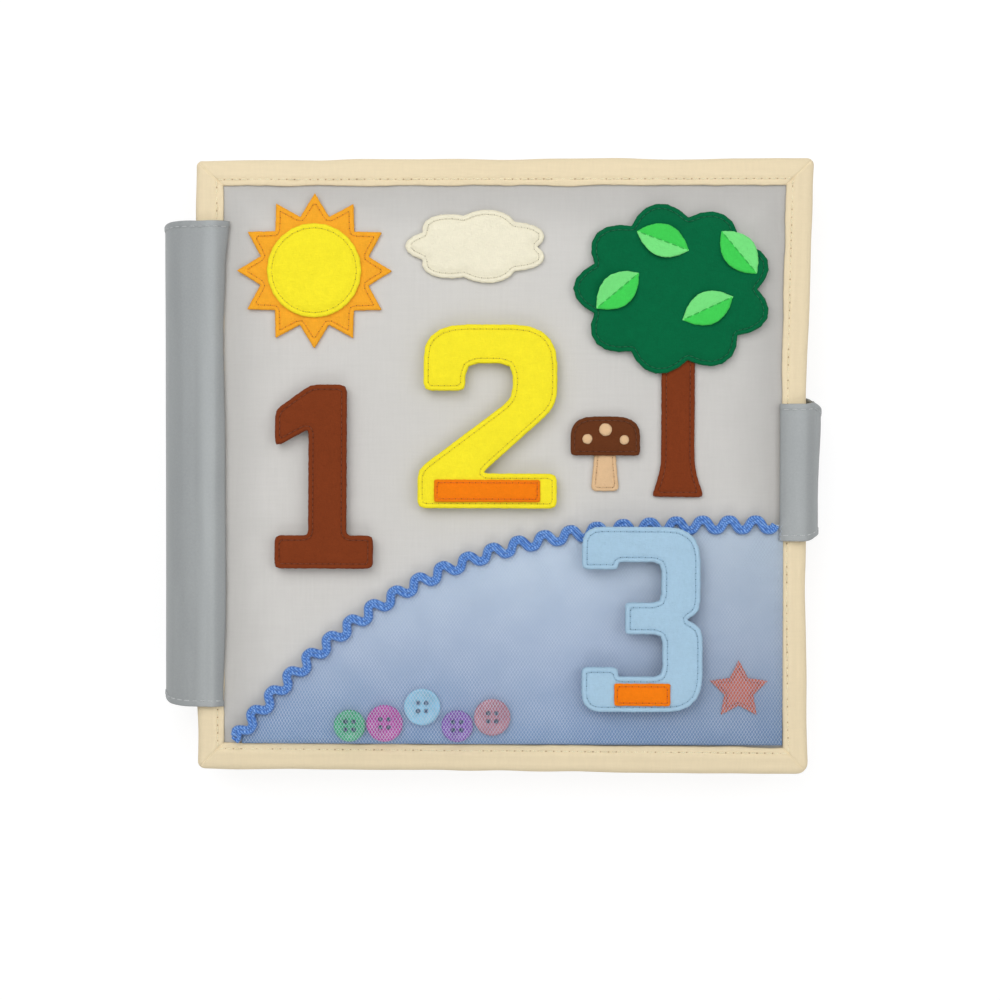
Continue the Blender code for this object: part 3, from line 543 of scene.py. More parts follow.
def sew(name, runs, body, slot_name, thread, stitch, prick=None, prick_radius=0.0, up=UP):
    """Stitches of a length, gap and radius along runs, with needle pricks, darker to paint the shade in their
    holes, where these have a look.
    """
    length, gap, radius = stitch
    dress(stitches(f"{name}_stitches", runs, thread, length, gap, radius, up), body, slot_name)
    if prick:
        dress(needle_pricks(f"{name}_holes", runs, prick, length, gap, prick_radius, up), body, slot_name)


def edged_steps(ends, span, count):
    """Places along a span: close ones at both ends, given in millimetres, and even ones between."""
    ends = [end * MM for end in ends]
    inner = [ends[-1] + (span - 2 * ends[-1]) * k / count for k in range(1, count)]
    return ends + inner + [span - end for end in ends[::-1]]


# Outlines read from the flat solids

def area_of(loop):
    return sum(a.x * b.y - b.x * a.y for a, b in zip(loop, loop[1:] + loop[:1])) / 2


def top_outline(node):
    """The closed outline of a flat solid's upper face, in order, going round to the left."""
    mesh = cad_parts[node].data
    top = max(v.co.z for v in mesh.vertices)
    places = [(round(v.co.x, 6), round(v.co.y, 6)) for v in mesh.vertices]
    edges = set()
    for face in mesh.polygons:
        if all(abs(mesh.vertices[i].co.z - top) < 0.01 * MM for i in face.vertices):
            corners = [places[i] for i in face.vertices]
            edges.update(zip(corners, corners[1:] + corners[:1]))
    rim = {a: b for a, b in edges if (b, a) not in edges}
    here = min(rim)
    loop = []
    while here in rim:
        loop.append(Vector(here))
        here = rim.pop(here)
    return loop if area_of(loop) > 0 else loop[::-1]


def resampled(loop, step):
    """Even steps round a closed loop."""
    closed = loop + [loop[0]]
    reach = reach_along(closed)
    count = max(8, int(reach[-1] / step))
    return [point_at(closed, reach, reach[-1] * i / count) for i in range(count)]


def gap_finder(loop):
    """A function giving the distance from a place to the nearest point of a loop."""
    tree = KDTree(len(loop))
    for i, point in enumerate(loop):
        tree.insert((point.x, point.y, 0), i)
    tree.balance()
    return lambda x, y: tree.find((x, y, 0))[2]


def inset_runs(loop, inset, height):
    """Runs of points at an even distance inside a loop."""
    loop = resampled(loop, OUTLINE_STEP)
    gap_to = gap_finder(loop)
    runs, run = [], []
    count = len(loop)
    for i in range(count + 1):
        place = loop[i % count] + left_of((loop[(i + 2) % count] - loop[i - 2]).normalized()) * inset
        if gap_to(place.x, place.y) > inset * 0.96 - 0.05 * MM:
            run.append(Vector((*place, height)))
        elif run:
            runs.append(run)
            run = []
    if run:
        runs.append(run)
    joined = []
    for run in runs:
        if joined and (run[0] - joined[-1][-1]).length < inset * 1.6:
            joined[-1] += run
        elif len(run) > 3:
            joined.append(run)
    return joined


# Leaves: one padded pillow each, and a folded tape round it

# Roundness of the corners and how far each one strays, in millimetres: upper left and right, lower ones
CORNER_ROUNDS = (1.5, 2.0, 1.7, 3.8)
CORNER_SHIFTS = ((-1.4, -0.8), (1.1, 1.0), (0.3, 0.5), (0.0, -0.7))
FORE_EDGE_PULL = 1.9 * MM
PAGE_RIPPLES = ((34, 0.35, 0), (13, 0.12, 7))
PAGE_SINK = 0.18 * MM
PUCKER = 0.08 * MM


def settled(x, y):
    """Where a place on a sewn leaf really lies: corners rounded and the sides a little uneven."""
    corner = HALF_PAGE - CORNER_ROUNDS[(2 if y < 0 else 0) + (1 if x > 0 else 0)] * MM
    u, v = abs(x) - corner, abs(y) - corner
    if u > 0 and v > 0:
        cut = 1 - max(u, v) / math.hypot(u, v)
        x -= math.copysign(u * cut, x)
        y -= math.copysign(v * cut, y)
    weight = smooth_step((max(abs(x), abs(y)) / HALF_PAGE - 0.75) / 0.25) * MM
    right, top = (1 + x / HALF_PAGE) / 2, (1 + y / HALF_PAGE) / 2
    shares = ((1 - right) * top, right * top, (1 - right) * (1 - top), right * (1 - top))
    shift_x, shift_y = (sum(s * c[k] for s, c in zip(shares, CORNER_SHIFTS)) for k in (0, 1))
    pull = FORE_EDGE_PULL * smooth_step((right - 0.9) / 0.1) * (1 - (2 * top - 1) ** 2)
    return x + weight * shift_x - pull, y + weight * shift_y


def leaf_middle(node):
    low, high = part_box(f"{node}_binding")
    return (low.z + high.z) / 2


def leaf_half(x, y, seed):
    """Half the thickness of a leaf at a place on its page."""
    foot = HALF_LEAF - TAPE - CLEAR
    inward = WINDOW - max(abs(x), abs(y))
    inner = smooth_step(inward / (4 * MM)) * (ripple(x, y, seed, PAGE_RIPPLES) - PAGE_SINK)
    pull = PUCKER * bell(max(inward, 0), SEAM_INSET)
    run = x if abs(y) > abs(x) else y
    pucker = pull * math.sin(run / (3.1 * MM) + 2 * wobble(run, seed, 20 * MM, 3))
    return foot + smooth_step(inward / PUFF) * (HALF_LEAF - foot) * 0.93 + inner + pucker


def leaf_piece(node, seed):
    """A leaf's two panels and padding as one closed cloth pillow."""
    middle = leaf_middle(node)
    steps = 170 if node == COVER else 90
    places = [PANEL_HALF * (2 * i / steps - 1) for i in range(steps + 1)]
    points = []
    for way, face_seed in ((1, seed), (-1, seed + 31)):
        for x in places:
            for y in places:
                over, up = settled(x, y)
                points.append((PAGE_X + over, up, middle + way * leaf_half(x, y, face_seed)))
    piece = mesh_object(f"{node}_page", points, slab(steps + 1, steps + 1), FINISH["page_cotton"])
    sides = ("outer", "inner") if "cover" in node else ("front", "back")
    dress(piece, node, "page_cotton", *(f"{node}_{side}_panel" for side in sides), f"{node}_padding")


SWELL = 0.9 * MM
TAPE_TURN = 3.4 * MM
TAPE_OUTER = HALF_LEAF - 0.15 * MM
TAPE_INNER = TAPE_OUTER - TAPE
TAPE_LIP = 3.2 * MM
# How far the tape's last rows drop to its sewn edge
EDGE_DROP, BEFORE_DROP = 0.28 * MM, 0.05 * MM
COVER_FULLNESS = 0.6 * MM
SEAM_SWAY = 0.15 * MM
THREAD_RISE = 0.04 * MM
TAPE_CREASE = 0.42 * MM
TAPE_WANDER = ((16, 0.45, 3), (4, 0.2, 5))
TAPE_SWAY = ((17, 0.5, 8),)
SEAM_GROOVE = 0.34 * MM
TAPE_STITCH = (2.0 * MM, 0.8 * MM, 0.25 * MM)
TAPE_PRICK_RADIUS = 0.3 * MM
TAPE_ENDS = (0.0, 0.3, 0.6, 1.0, 1.5, 2.2, 3.2, 4.6)
TAPE_SHARES = (0.2, 0.34, 0.46, 0.55, 0.61, 0.67, 0.74, 0.84, 0.93, 0.975, 1.0)
TAPE_STEPS = 90
LOWER_FULLNESS = 0.12 * MM


def tape_lift(x, y, share, seed):
    """How far the tape's face swells at a share of its flat width, from 0 to about 1."""
    return (1 + 0.5 * wobble(x, y, 5 * MM, seed)) * math.sin(share ** 0.8 * math.pi)


def tape_profile(x, y, nearness, seed, fullness):
    """The folded tape's section at a place on its loop: (distance in from the edge, height)."""
    width = BAND + ripple(x, y, seed, TAPE_WANDER)
    wave = SWELL + ripple(x, y, seed, TAPE_SWAY)
    crease = TAPE_CREASE * bell(nearness, 0.5 * MM)
    fold, upper, lower = [], [], []
    for step in range(-7, 8):
        angle = step / 7 * math.pi / 2
        height = TAPE_OUTER * math.copysign(abs(math.sin(angle)) ** 0.85, angle) - crease * math.sin(angle)
        out = (wave - 0.1 * crease) * math.cos(angle) ** 0.8
        fold.append((TAPE_TURN * (1 - math.cos(angle)) - out, height))
    for share in TAPE_SHARES:
        inward = TAPE_TURN + (width - TAPE_TURN) * share
        groove = SEAM_GROOVE * bell(inward - (BAND - SEAM_INSET), GROOVE_REACH)
        drop = EDGE_DROP if share == 1.0 else BEFORE_DROP if share > 0.97 else 0
        sunk = TAPE_OUTER - groove - drop - crease
        lift = tape_lift(x, y, share, seed)
        upper.append((inward, sunk + fullness * lift))
        lower.append((inward, -sunk - LOWER_FULLNESS * lift))
    below, above = ([(TAPE_LIP, way * TAPE_INNER), (width, way * TAPE_INNER)] for way in (-1, 1))
    return below + lower[::-1] + fold + upper + above[::-1] + [(TAPE, 0.0)]


def on_side(side, along, inward):
    """A place along one side of the page, turned to that side and settled."""
    turn = side * math.pi / 2
    y = -(HALF_PAGE - inward)
    return settled(
        along * math.cos(turn) - y * math.sin(turn), along * math.sin(turn) + y * math.cos(turn),
    )


def binding_piece(node, seed):
    """One length of folded tape round a leaf, creased where it is mitred at the corners."""
    middle = leaf_middle(node)
    fullness = COVER_FULLNESS if node == COVER else LOWER_FULLNESS
    points = []
    for side in range(4):
        for place in edged_steps(TAPE_ENDS, 2 * HALF_PAGE, TAPE_STEPS)[:-1]:
            x, y = on_side(side, place - HALF_PAGE, 0.0)
            profile = tape_profile(x, y, min(place, 2 * HALF_PAGE - place), seed, fullness)
            for inward, height in profile:
                over, up = on_side(side, (HALF_PAGE - inward) * (place / HALF_PAGE - 1), inward)
                points.append((PAGE_X + over, up, middle + height))
    rows = len(profile)
    last = len(points) - rows
    faces = quads(len(points) // rows, rows, closed=True)
    faces += [(last + j, j, (j + 1) % rows, last + (j + 1) % rows) for j in range(rows)]
    piece = mesh_object(f"{node}_tape", points, faces, FINISH["binding"])
    dress(piece, node, "binding", f"{node}_binding")
    reach = HALF_PAGE - BAND + SEAM_INSET
    seam_share = (BAND - SEAM_INSET - TAPE_TURN) / (BAND - TAPE_TURN)
    for way, full, label in ((1, fullness, "upper"), (-1, LOWER_FULLNESS, "lower")):
        runs = []
        for side in range(4):
            run = []
            for i in range(201):
                along = reach * (i / 100 - 1)
                inward = HALF_PAGE - reach + SEAM_SWAY * wobble(along, side, 25 * MM, seed)
                over, up = on_side(side, along, inward)
                lift = full * tape_lift(over, up, seam_share, seed) + THREAD_RISE
                run.append(Vector((PAGE_X + over, up, middle + way * (TAPE_OUTER - SEAM_GROOVE + lift))))
            runs.append(run)
        sew(
            f"{node}_{label}", runs, node, "binding", TAPE_THREAD, TAPE_STITCH, TAPE_PRICK_SHADE,
            TAPE_PRICK_RADIUS, UP * way,
        )


for number, leaf in enumerate(LEAVES[::-1]):
    leaf_piece(leaf, 1.5 + number * 3)
for number, leaf in enumerate(LEAVES):
    binding_piece(leaf, 2 + number * 5)


# Spine sleeve and strap: cloth bent along a path

HEM = 2.1 * MM
HEM_STEP = 0.3 * MM
HEM_THREAD_RISE = 0.12 * MM
# How far the shifts of a cloth's edges reach into it
WIDEN_REACH, END_REACH = 10 * MM, 12 * MM
SLEEVE_STITCH = (2.2 * MM, 0.7 * MM, 0.22 * MM)
HEM_ROWS = (0.0, 0.25, 0.6, 1.0, 1.4, 1.8, 2.1, 2.4, 2.7, 3.2, 4.2)


def smooth_path(corners, count):
    """Even steps along a smooth curve through corners, and its length."""
    points = [Vector(c) for c in corners]
    points = [points[0] * 2 - points[1]] + points + [points[-1] * 2 - points[-2]]
    fine = []
    for a, b, c, d in zip(points, points[1:], points[2:], points[3:]):
        for k in range(24):
            t = k / 24
            bend = (a * 2 - b * 5 + c * 4 - d) * t ** 2 + (b * 3 - a - c * 3 + d) * t ** 3
            fine.append((b * 2 + (c - a) * t + bend) / 2)
    fine.append(points[-2])
    reach = reach_along(fine)
    return [point_at(fine, reach, reach[-1] * i / count) for i in range(count + 1)], reach[-1]


def eased(stops, place):
    """A length read from (place, length) stops in millimetres, with smooth steps between them."""
    place /= MM
    if place <= stops[0][0]:
        return stops[0][1] * MM
    for (a, low), (b, high) in zip(stops, stops[1:]):
        if place <= b:
            return (low + (high - low) * smooth_step((place - a) / (b - a))) * MM
    return stops[-1][1] * MM


class Drape:
    """A strip of cloth: a path in XZ, swept along Y, with folds, hemmed ends and a thickness."""

    widen = low_end = high_end = staticmethod(lambda place: 0.0)

    def __init__(self, corners, low, high, columns, rows, side=1):
        self.path, self.length = smooth_path(corners, columns)
        self.low, self.high = low, high
        self.columns, self.rows = columns, rows
        self.side = side

    def place(self, i, y, depth):
        """The point at path step i and height y, depth below the cloth's outer face."""
        i = min(max(i, 0), self.columns)
        k = min(int(i), self.columns - 1)
        centre = self.path[k].lerp(self.path[k + 1], i - k)
        along = (self.path[min(k + 2, self.columns)] - self.path[max(k - 1, 0)]).normalized()
        out = left_of(along) * self.side
        reach = i / self.columns * self.length
        spot = centre + out * (self.fold(reach, y) - depth)
        spot.x += self.widen(y) * smooth_step(1 - reach / WIDEN_REACH)
        lower = smooth_step(1 - (y - self.low) / END_REACH)
        upper = smooth_step(1 - (self.high - y) / END_REACH)
        moved = y + self.low_end(reach) * lower + self.high_end(reach) * upper
        return Vector((spot.x, moved, spot.y)), Vector((out.x, 0, out.y))

    def mesh(self, name):
        """The closed sheet, with rounded edges and a doubled hem at each end."""
        ys = [self.low + s for s in edged_steps(HEM_ROWS, self.high - self.low, self.rows)]
        rows = len(ys)
        points = []
        for under in (False, True):
            for i in range(self.columns + 1):
                for j, y in enumerate(ys):
                    rim = i in (0, self.columns) or j in (0, rows - 1)
                    rounding = 0.24 * SLEEVE if rim else 0.0
                    gap = min(y - self.low, self.high - y)
                    hem = HEM_STEP * (1 - smooth_step((gap - HEM + 0.5 * MM) / (0.9 * MM)))
                    points.append(self.place(i, y, SLEEVE - rounding if under else rounding - hem)[0])
        return mesh_object(name, points, slab(self.columns + 1, rows, self.side < 0), FINISH["sleeve_cotton"])

    def seams(self, name, shares):
        """Stitches across both hems, lying on the outer face."""
        places = [
            [self.place(share * self.columns, y, -HEM_THREAD_RISE) for share in shares]
            for y in (self.low + HEM, self.high - HEM)
        ]
        runs = [[spot for spot, out in line] for line in places]
        ups = [[out for spot, out in line] for line in places]
        return stitches(name, runs, GREY_THREAD, *SLEEVE_STITCH, ups=ups)

    def dressed(self, name, label, shares, bodies, start, end, nodes):
        """The cloth and its stitches, left in the model's frame without blending between bodies; bodies,
        start and end are not used.
        """
        piece = self.mesh(name)
        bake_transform(piece)
        dress(piece, None, "sleeve_cotton", *nodes)
        sewn = self.seams(f"{label}_stitches", shares)
        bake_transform(sewn)
        dress(sewn, None, "sleeve_cotton")


SPINE_LOW, SPINE_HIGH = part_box("spine_front_half")
SPINE_OUT = SPINE_LOW.x
FLAP_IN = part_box("spine_front_flap")[1].x
FLAP_EDGE = ((-86, -0.5), (-50, 0.3), (0, -0.1), (49, -1.0), (70, -0.5), (87, 0.8))
# How far the front half stands out and the back half lies in, and the front half's raised top
FRONT_SWELL, BACK_SWELL, FRONT_ROLL = 1.35 * MM, -1.75 * MM, 1.6 * MM
LEAN = 0.5 * MM
SPINE_FOLDS = ((0.55, 5, 95, 5.0), (0.25, 3, 30, 9.0))
# Where the sleeve's ends begin to be drawn in, over what length, and by how much
DRAWN_FROM, DRAWN_OVER, LOW_DRAWN, HIGH_DRAWN = 13 * MM, 13 * MM, 3.2 * MM, -0.8 * MM
TURN_REACH = 1.8 * MM
# Corners of the sleeve's path: where x counts from, then millimetres from there and above the stack
SPINE_PATH = (
    (FLAP_IN, 0.7, -1.0), (FLAP_IN, 0.1, -0.2), (FLAP_IN, -1.4, 0.8), (FLAP_IN, -4.0, 1.5),
    (FLAP_IN, -8.0, 0.7), (HINGE_X, -1.5, -0.1), (HINGE_X, -6.0, -1.4), (SPINE_OUT, 2.6, -4.2),
    (SPINE_OUT, 0.3, -9.0),
)


class SpineHalf(Drape):
    """Half the sleeve and its flap, from the flap's sewn edge to the spine's middle.

    The front half stands out and the back half lies in by more, so they fit when the book opens between them.
    """

    def __init__(self, way):
        self.way = way
        self.swell = FRONT_SWELL if way > 0 else BACK_SWELL
        self.roll = FRONT_ROLL if way > 0 else 0.0
        corners = [(x + across * MM, self.height(STACK_TOP + up * MM)) for x, across, up in SPINE_PATH]
        corners.append((SPINE_OUT + 0.4 * MM, self.height(STACK_TOP / 2 + 0.08 * MM)))
        super().__init__(corners, SPINE_LOW.y, SPINE_HIGH.y, 60, 130, side=-way)

    def height(self, z):
        """A height over the upper half of the stack, mirrored for the back half."""
        return STACK_TOP / 2 + self.way * (min(z, STACK_TOP + self.roll) - STACK_TOP / 2)

    def fold(self, s, y):
        """Soft lengthwise folds along the spine."""
        rest = self.length - s
        stand = (self.swell + self.way * LEAN * y / SPINE_HIGH.y) * smooth_step(rest / (5 * MM))
        crumple = smooth_step(s / (7 * MM)) * (0.2 + 0.8 * smooth_step((rest - 8 * MM) / (6 * MM)))
        return smooth_step((s - 9 * MM) / (9 * MM)) * stand + crumple * folds(s, y, SPINE_FOLDS)

    def widen(self, y):
        """How far the flap's sewn edge wanders along the book."""
        return eased(FLAP_EDGE, y)

    def drawn_in(self, reach):
        """How far the sleeve's end is drawn in towards its outer fold, from 0 to 1."""
        share = min(1.0, max(0.0, (reach - DRAWN_FROM) / DRAWN_OVER))
        return 1 - math.sqrt(1 - share * share)

    def low_end(self, reach):
        return LOW_DRAWN * self.drawn_in(reach)

    def high_end(self, reach):
        return HIGH_DRAWN * self.drawn_in(reach)


SPINE_BODIES = (("spine_front", 1, ("leaf_2", COVER)), ("spine_back", -1, ("leaf_3", "back_cover")))
for label, way, bodies in SPINE_BODIES:
    sleeve = SpineHalf(way)
    hinge = sleeve.height(STACK_TOP)
    sleeve.dressed(
        label, label, [k / 120 for k in range(4, 121)], bodies,
        (HINGE_X - TURN_REACH, 0, hinge - way * 0.4 * MM), (HINGE_X + TURN_REACH, 0, hinge),
        (f"{label}_flap", f"{label}_half"),
    )

STRAP_LOW, STRAP_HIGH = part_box("strap_tail")
STRAP_OUT = STRAP_HIGH.x - 1.0 * MM
TAB_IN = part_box("strap_front_tab")[0].x
STRAP_TOP_PATH = (
    (TAB_IN, -1.7, -0.5), (TAB_IN, 0.6, 0.5), (TAB_IN, 4.4, 1.3), (FORE_X, -1.2, 0.8),
    (FORE_X, 1.0, -0.2), (STRAP_OUT, -2.4, -1.0), (STRAP_OUT, -0.6, -3.0), (STRAP_OUT, 0.0, -6.5),
)
STRAP_LOW_PATH = (
    (STRAP_OUT, STACK_TOP * 0.5), (STRAP_OUT - 0.6 * MM, 6 * MM), (STRAP_OUT - 3 * MM, 1.6 * MM),
    (FORE_X - 2 * MM, 0.0), (STRAP_LOW.x, 0.0),
)
STRAP_LOW_END = ((9, 0.0), (20, 3.2), (32, 2.4), (50, 0.0))
STRAP_HIGH_END = ((9, 0.0), (12.5, 0.5), (20, -2.6), (29, 2.0), (38, 3.6), (48, 1.5), (60, 0.0))
STRAP_SLACK, CORNER_SLACK = 0.9 * MM, 0.6 * MM
STRAP_FOLDS = ((0.35, 4, 16, 2.0),)


class Strap(Drape):
    """The strap from its sewn tab, round the fore-edge, to its tail under the back cover."""

    def __init__(self):
        corners = [(x + across * MM, STACK_TOP + up * MM) for x, across, up in STRAP_TOP_PATH]
        super().__init__(corners + list(STRAP_LOW_PATH), STRAP_LOW.y, STRAP_HIGH.y, 110, 44)

    def fold(self, s, y):
        """Slack at its upper end, with soft folds across."""
        share = (y - self.low) / (self.high - self.low)
        turn = bell(s - 15 * MM, 7 * MM)
        slack = STRAP_SLACK * turn * smooth_step(share) ** 2
        slack += CORNER_SLACK * smooth_step(1 - s / (6 * MM)) * smooth_step((-19 * MM - y) / (3 * MM))
        return slack + turn * folds(s, y, STRAP_FOLDS)

    def low_end(self, reach):
        return eased(STRAP_LOW_END, reach)

    def high_end(self, reach):
        return eased(STRAP_HIGH_END, reach)


Strap().dressed(
    "strap_cloth", "strap", [k / 200 for k in range(3, 199)], (COVER, "strap"),
    (FORE_X - 1.6 * MM, 0, STACK_TOP), (FORE_X + 1.8 * MM, 0, STACK_TOP - 0.5 * MM),
    ("strap_front_tab", "strap_tail"),
)


# Felt pieces: cut edges, sewn groove, fuzzy outline

def inside_many(points, loop):
    """Which points lie inside a closed loop."""
    x, y = points[:, 0], points[:, 1]
    inside = np.zeros(len(points), bool)
    for a, b in zip(loop, loop[1:] + loop[:1]):
        if a.y == b.y:
            continue
        at = a.x + (y - a.y) / (b.y - a.y) * (b.x - a.x)
        inside ^= ((y < a.y) != (y < b.y)) & (x < at)
    return inside


# Distance between the rows of even triangles, as a share of their side
ROW_SHARE = 0.866
FUZZ = 0.13 * MM
FUZZ_SIZE = 0.9 * MM


def filled(rim, step):
    """Points and triangles filling a loop, with the distance of each point from the loop."""
    gap_to = gap_finder(rim)
    across = np.arange(min(p.x for p in rim), max(p.x for p in rim), step)
    up = np.arange(min(p.y for p in rim), max(p.y for p in rim), step * ROW_SHARE)
    grid_x, grid_y = np.meshgrid(across, up)
    grid_x = grid_x + (np.arange(len(up)) % 2 * step / 2)[:, None]
    grid = np.column_stack((grid_x.ravel(), grid_y.ravel()))
    grid = [p for p in grid[inside_many(grid, rim)] if gap_to(*p) > step * 0.6]
    places = [Vector((x / MM, y / MM)) for x, y in rim + grid]
    edges = [(i, (i + 1) % len(rim)) for i in range(len(rim))]
    points, _, triangles = geometry.delaunay_2d_cdt(places, edges, [], 1, 1e-6)[:3]
    points = [p * MM for p in points]
    return points, triangles, [gap_to(p.x, p.y) for p in points]


def fuzzy(loop, seed):
    """A cut edge of felt: small bumps out of the true outline."""
    rim = resampled(loop, OUTLINE_STEP)
    ragged = []
    for i, here in enumerate(rim):
        along = (rim[(i + 1) % len(rim)] - rim[i - 1]).normalized()
        ragged.append(here + left_of(along) * (FUZZ * wobble(here.x, here.y, FUZZ_SIZE, seed)))
    return ragged


def felt_mesh(name, loop, foot, top, surface, height, step=0.7 * MM, edge=0.45 * MM, seed=1.0):
    """A closed felt shape. height(x, y, gap) gives how far the felt lifts, and its upper face besides."""
    flat, triangles, gaps = filled(fuzzy(loop, seed), step)
    radius = min(edge, (top - foot) / 2)
    upper, lower = [], []
    for (x, y), gap in zip(flat, gaps):
        lift, push = height(x, y, gap)
        short = max(0.0, 1 - gap / radius)
        rounding = radius * (1 - math.sqrt(1 - short * short))
        upper.append((x, y, top + lift + push - rounding))
        lower.append((x, y, foot + max(lift, 0) + 0.6 * rounding))
    count = len(flat)
    faces = [tuple(t) for t in triangles]
    faces += [tuple(count + i for i in reversed(t)) for t in triangles]
    borders = {side: None for t in triangles for side in zip(t, t[1:] + t[:1])}
    faces += [(b, a, count + a, count + b) for a, b in borders if (b, a) not in borders]
    return mesh_object(name, upper + lower, faces, surface)


FELT_STITCH = (1.6 * MM, 0.6 * MM, 0.15 * MM)
FELT_PRICK_RADIUS = 0.22 * MM
FELT_DIP = 0.3 * MM
FELT_SINK = 0.05 * MM
FELT_RIPPLES = ((1.1, 0.05, 0), (6, 0.12, 2))
THREAD_DEPTH = 0.16 * MM


def felt_piece(name, node, body, felt, inset=1.7 * MM, puff=0.2 * MM, seed=1.0, sewn=True):
    """A felt solid dressed, with a seam of stitches just inside its edge where it is sewn."""
    low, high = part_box(node)
    loop = top_outline(node)
    slot_name = f"felt_{felt}"
    seam, dip = (inset, FELT_DIP) if sewn else (0.6 * MM, 0.0)

    def height(x, y, gap):
        full = puff * smooth_step((gap - seam) / (3 * MM)) - dip * bell(gap - seam, GROOVE_REACH)
        return 0.0, full + ripple(x, y, seed, FELT_RIPPLES) - FELT_SINK

    piece = felt_mesh(name, loop, low.z, high.z, FINISH[slot_name], height, seed=seed)
    dress(piece, body, slot_name, node)
    if sewn:
        runs = inset_runs(loop, inset, high.z - THREAD_DEPTH)
        sew(
            name, runs, body, slot_name, THREAD[slot_name], FELT_STITCH, PRICK_SHADE[slot_name], FELT_PRICK_RADIUS,
        )


# Name, solid, felt, then the seam's inset and the fullness in millimetres
SCENERY = (
    ("sun_rays", "sun_rays", "amber", 1.7, 0.2), ("sun_disc", "sun_disc", "yellow", 1.7, 0.5),
    ("cloud", "cloud", "white", 1.7, 0.5), ("trunk", "tree_trunk", "brown", 1.7, 0.2),
    ("crown", "tree_crown", "dark_green", 1.7, 0.35), ("stalk", "mushroom_stalk", "cream", 1.3, 0.2),
    ("cap", "mushroom_cap", "dark_brown", 1.4, 0.2), ("starfish", "starfish", "salmon", 1.2, 0.1),
)
for number, (label, node, felt, inset, puff) in enumerate(SCENERY):
    felt_piece(f"{label}_felt", node, COVER, felt, inset * MM, puff * MM, 1.5 + number)

NUMERALS = {"numeral_one": "brown", "numeral_two": "yellow", "numeral_three": "pale_blue"}
for number, (numeral, felt) in enumerate(NUMERALS.items()):
    felt_piece(f"{numeral}_felt", numeral, numeral, felt, puff=0.15 * MM, seed=11.5 + number)
    felt_piece(f"{numeral}_under_felt", f"{numeral}_backing", numeral, felt, seed=21.5 + number, sewn=False)
    if number:
        felt_piece(
            f"{numeral}_band_felt", f"{numeral}_band", numeral, "orange", 1.1 * MM, 0.05 * MM, 31.5 + number,
        )


# Pocket: backing cloth, fine net, wavy braid

BACKING_LOOP = top_outline("pocket_backing")
BACKING_LOW, BACKING_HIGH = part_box("pocket_backing")
TRIM_LOW, TRIM_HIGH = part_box("pocket_trim")
NET_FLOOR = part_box("pocket_mesh")[0].z + 0.5 * MM
NET_PITCH = 0.62 * MM
NET_LEAN = math.radians(58)
NET_DEPTH = 0.2 * MM
NET_WEAVE = 0.05 * MM
NET_CLEAR = 0.3 * MM
NET_PUCKER = 0.5 * MM
NET_WAVE = 0.45 * MM
STRAND = 0.075 * MM
STRAND_SIDES = 4
TRIM_WAVE = 9.4 * MM
TRIM_WIDE = 3.3 * MM
TRIM_SWING = 2.0 * MM
TRIM_SWELL = 0.45 * MM
TRIM_TAIL = 3.6 * MM
TRIM_SHORT = 3.0 * MM
TRIM_FOOT = 0.2 * MM
TRIM_YARN = 0.05 * MM
TRIM_ROWS = 16
TRIM_STEPS = 30
TRIM_STITCH = (1.8 * MM, 1.4 * MM, 0.16 * MM)
MOUTH_STEPS = 900
MOUTH_STRETCH = 1.5 * MM

# The pocket's curved mouth from its lower left corner
MOUTH, MOUTH_LENGTH = smooth_path(
    sorted((p.x, p.y) for p in BACKING_LOOP if p.y > BACKING_LOW.y + 0.5 * MM), MOUTH_STEPS,
)
MOUTH_X = [p.x for p in MOUTH]
MOUTH_Y = [p.y for p in MOUTH]
MOUTH_REACH = np.linspace(0, MOUTH_LENGTH, len(MOUTH))


def mouth_direction(s):
    """The mouth's direction at a distance along it, over a short stretch."""
    a, b = (point_at(MOUTH, MOUTH_REACH, s + way * MOUTH_STRETCH) for way in (-1, 1))
    return (b - a).normalized()


def mouth_place(s):
    """A place along the mouth, which the braid's tail carries on straight below its start."""
    return point_at(MOUTH, MOUTH_REACH, max(0, s)) + mouth_direction(0) * min(0, s)


def net_field(step=1.0 * MM, passes=26):
    """The mesh solid's upper face as a smoothed grid of heights, with the grid's places."""
    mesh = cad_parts["pocket_mesh"].data
    tree = BVHTree.FromPolygons([v.co for v in mesh.vertices], [list(f.vertices) for f in mesh.polygons])
    xs = np.arange(BACKING_LOW.x - 2 * MM, BACKING_HIGH.x + 3 * MM, step)
    ys = np.arange(BACKING_LOW.y - 2 * MM, BACKING_HIGH.y + 3 * MM, step)
    field = np.full((len(xs), len(ys)), NET_FLOOR)
    for i, x in enumerate(xs):
        for j, y in enumerate(ys):
            hit = tree.ray_cast(Vector((x, y, 0.1)), -UP)[0]
            if hit:
                field[i, j] = hit.z
    floor = np.minimum(field, NET_FLOOR)
    for _ in range(passes):
        padded = np.pad(field, 1, mode="edge")
        around = padded[2:, 1:-1] + padded[:-2, 1:-1] + padded[1:-1, 2:] + padded[1:-1, :-2]
        field = (around + field * 2) / 6
    return xs, ys, np.maximum(field, floor)


NET_XS, NET_YS, NET_HEIGHTS = net_field()


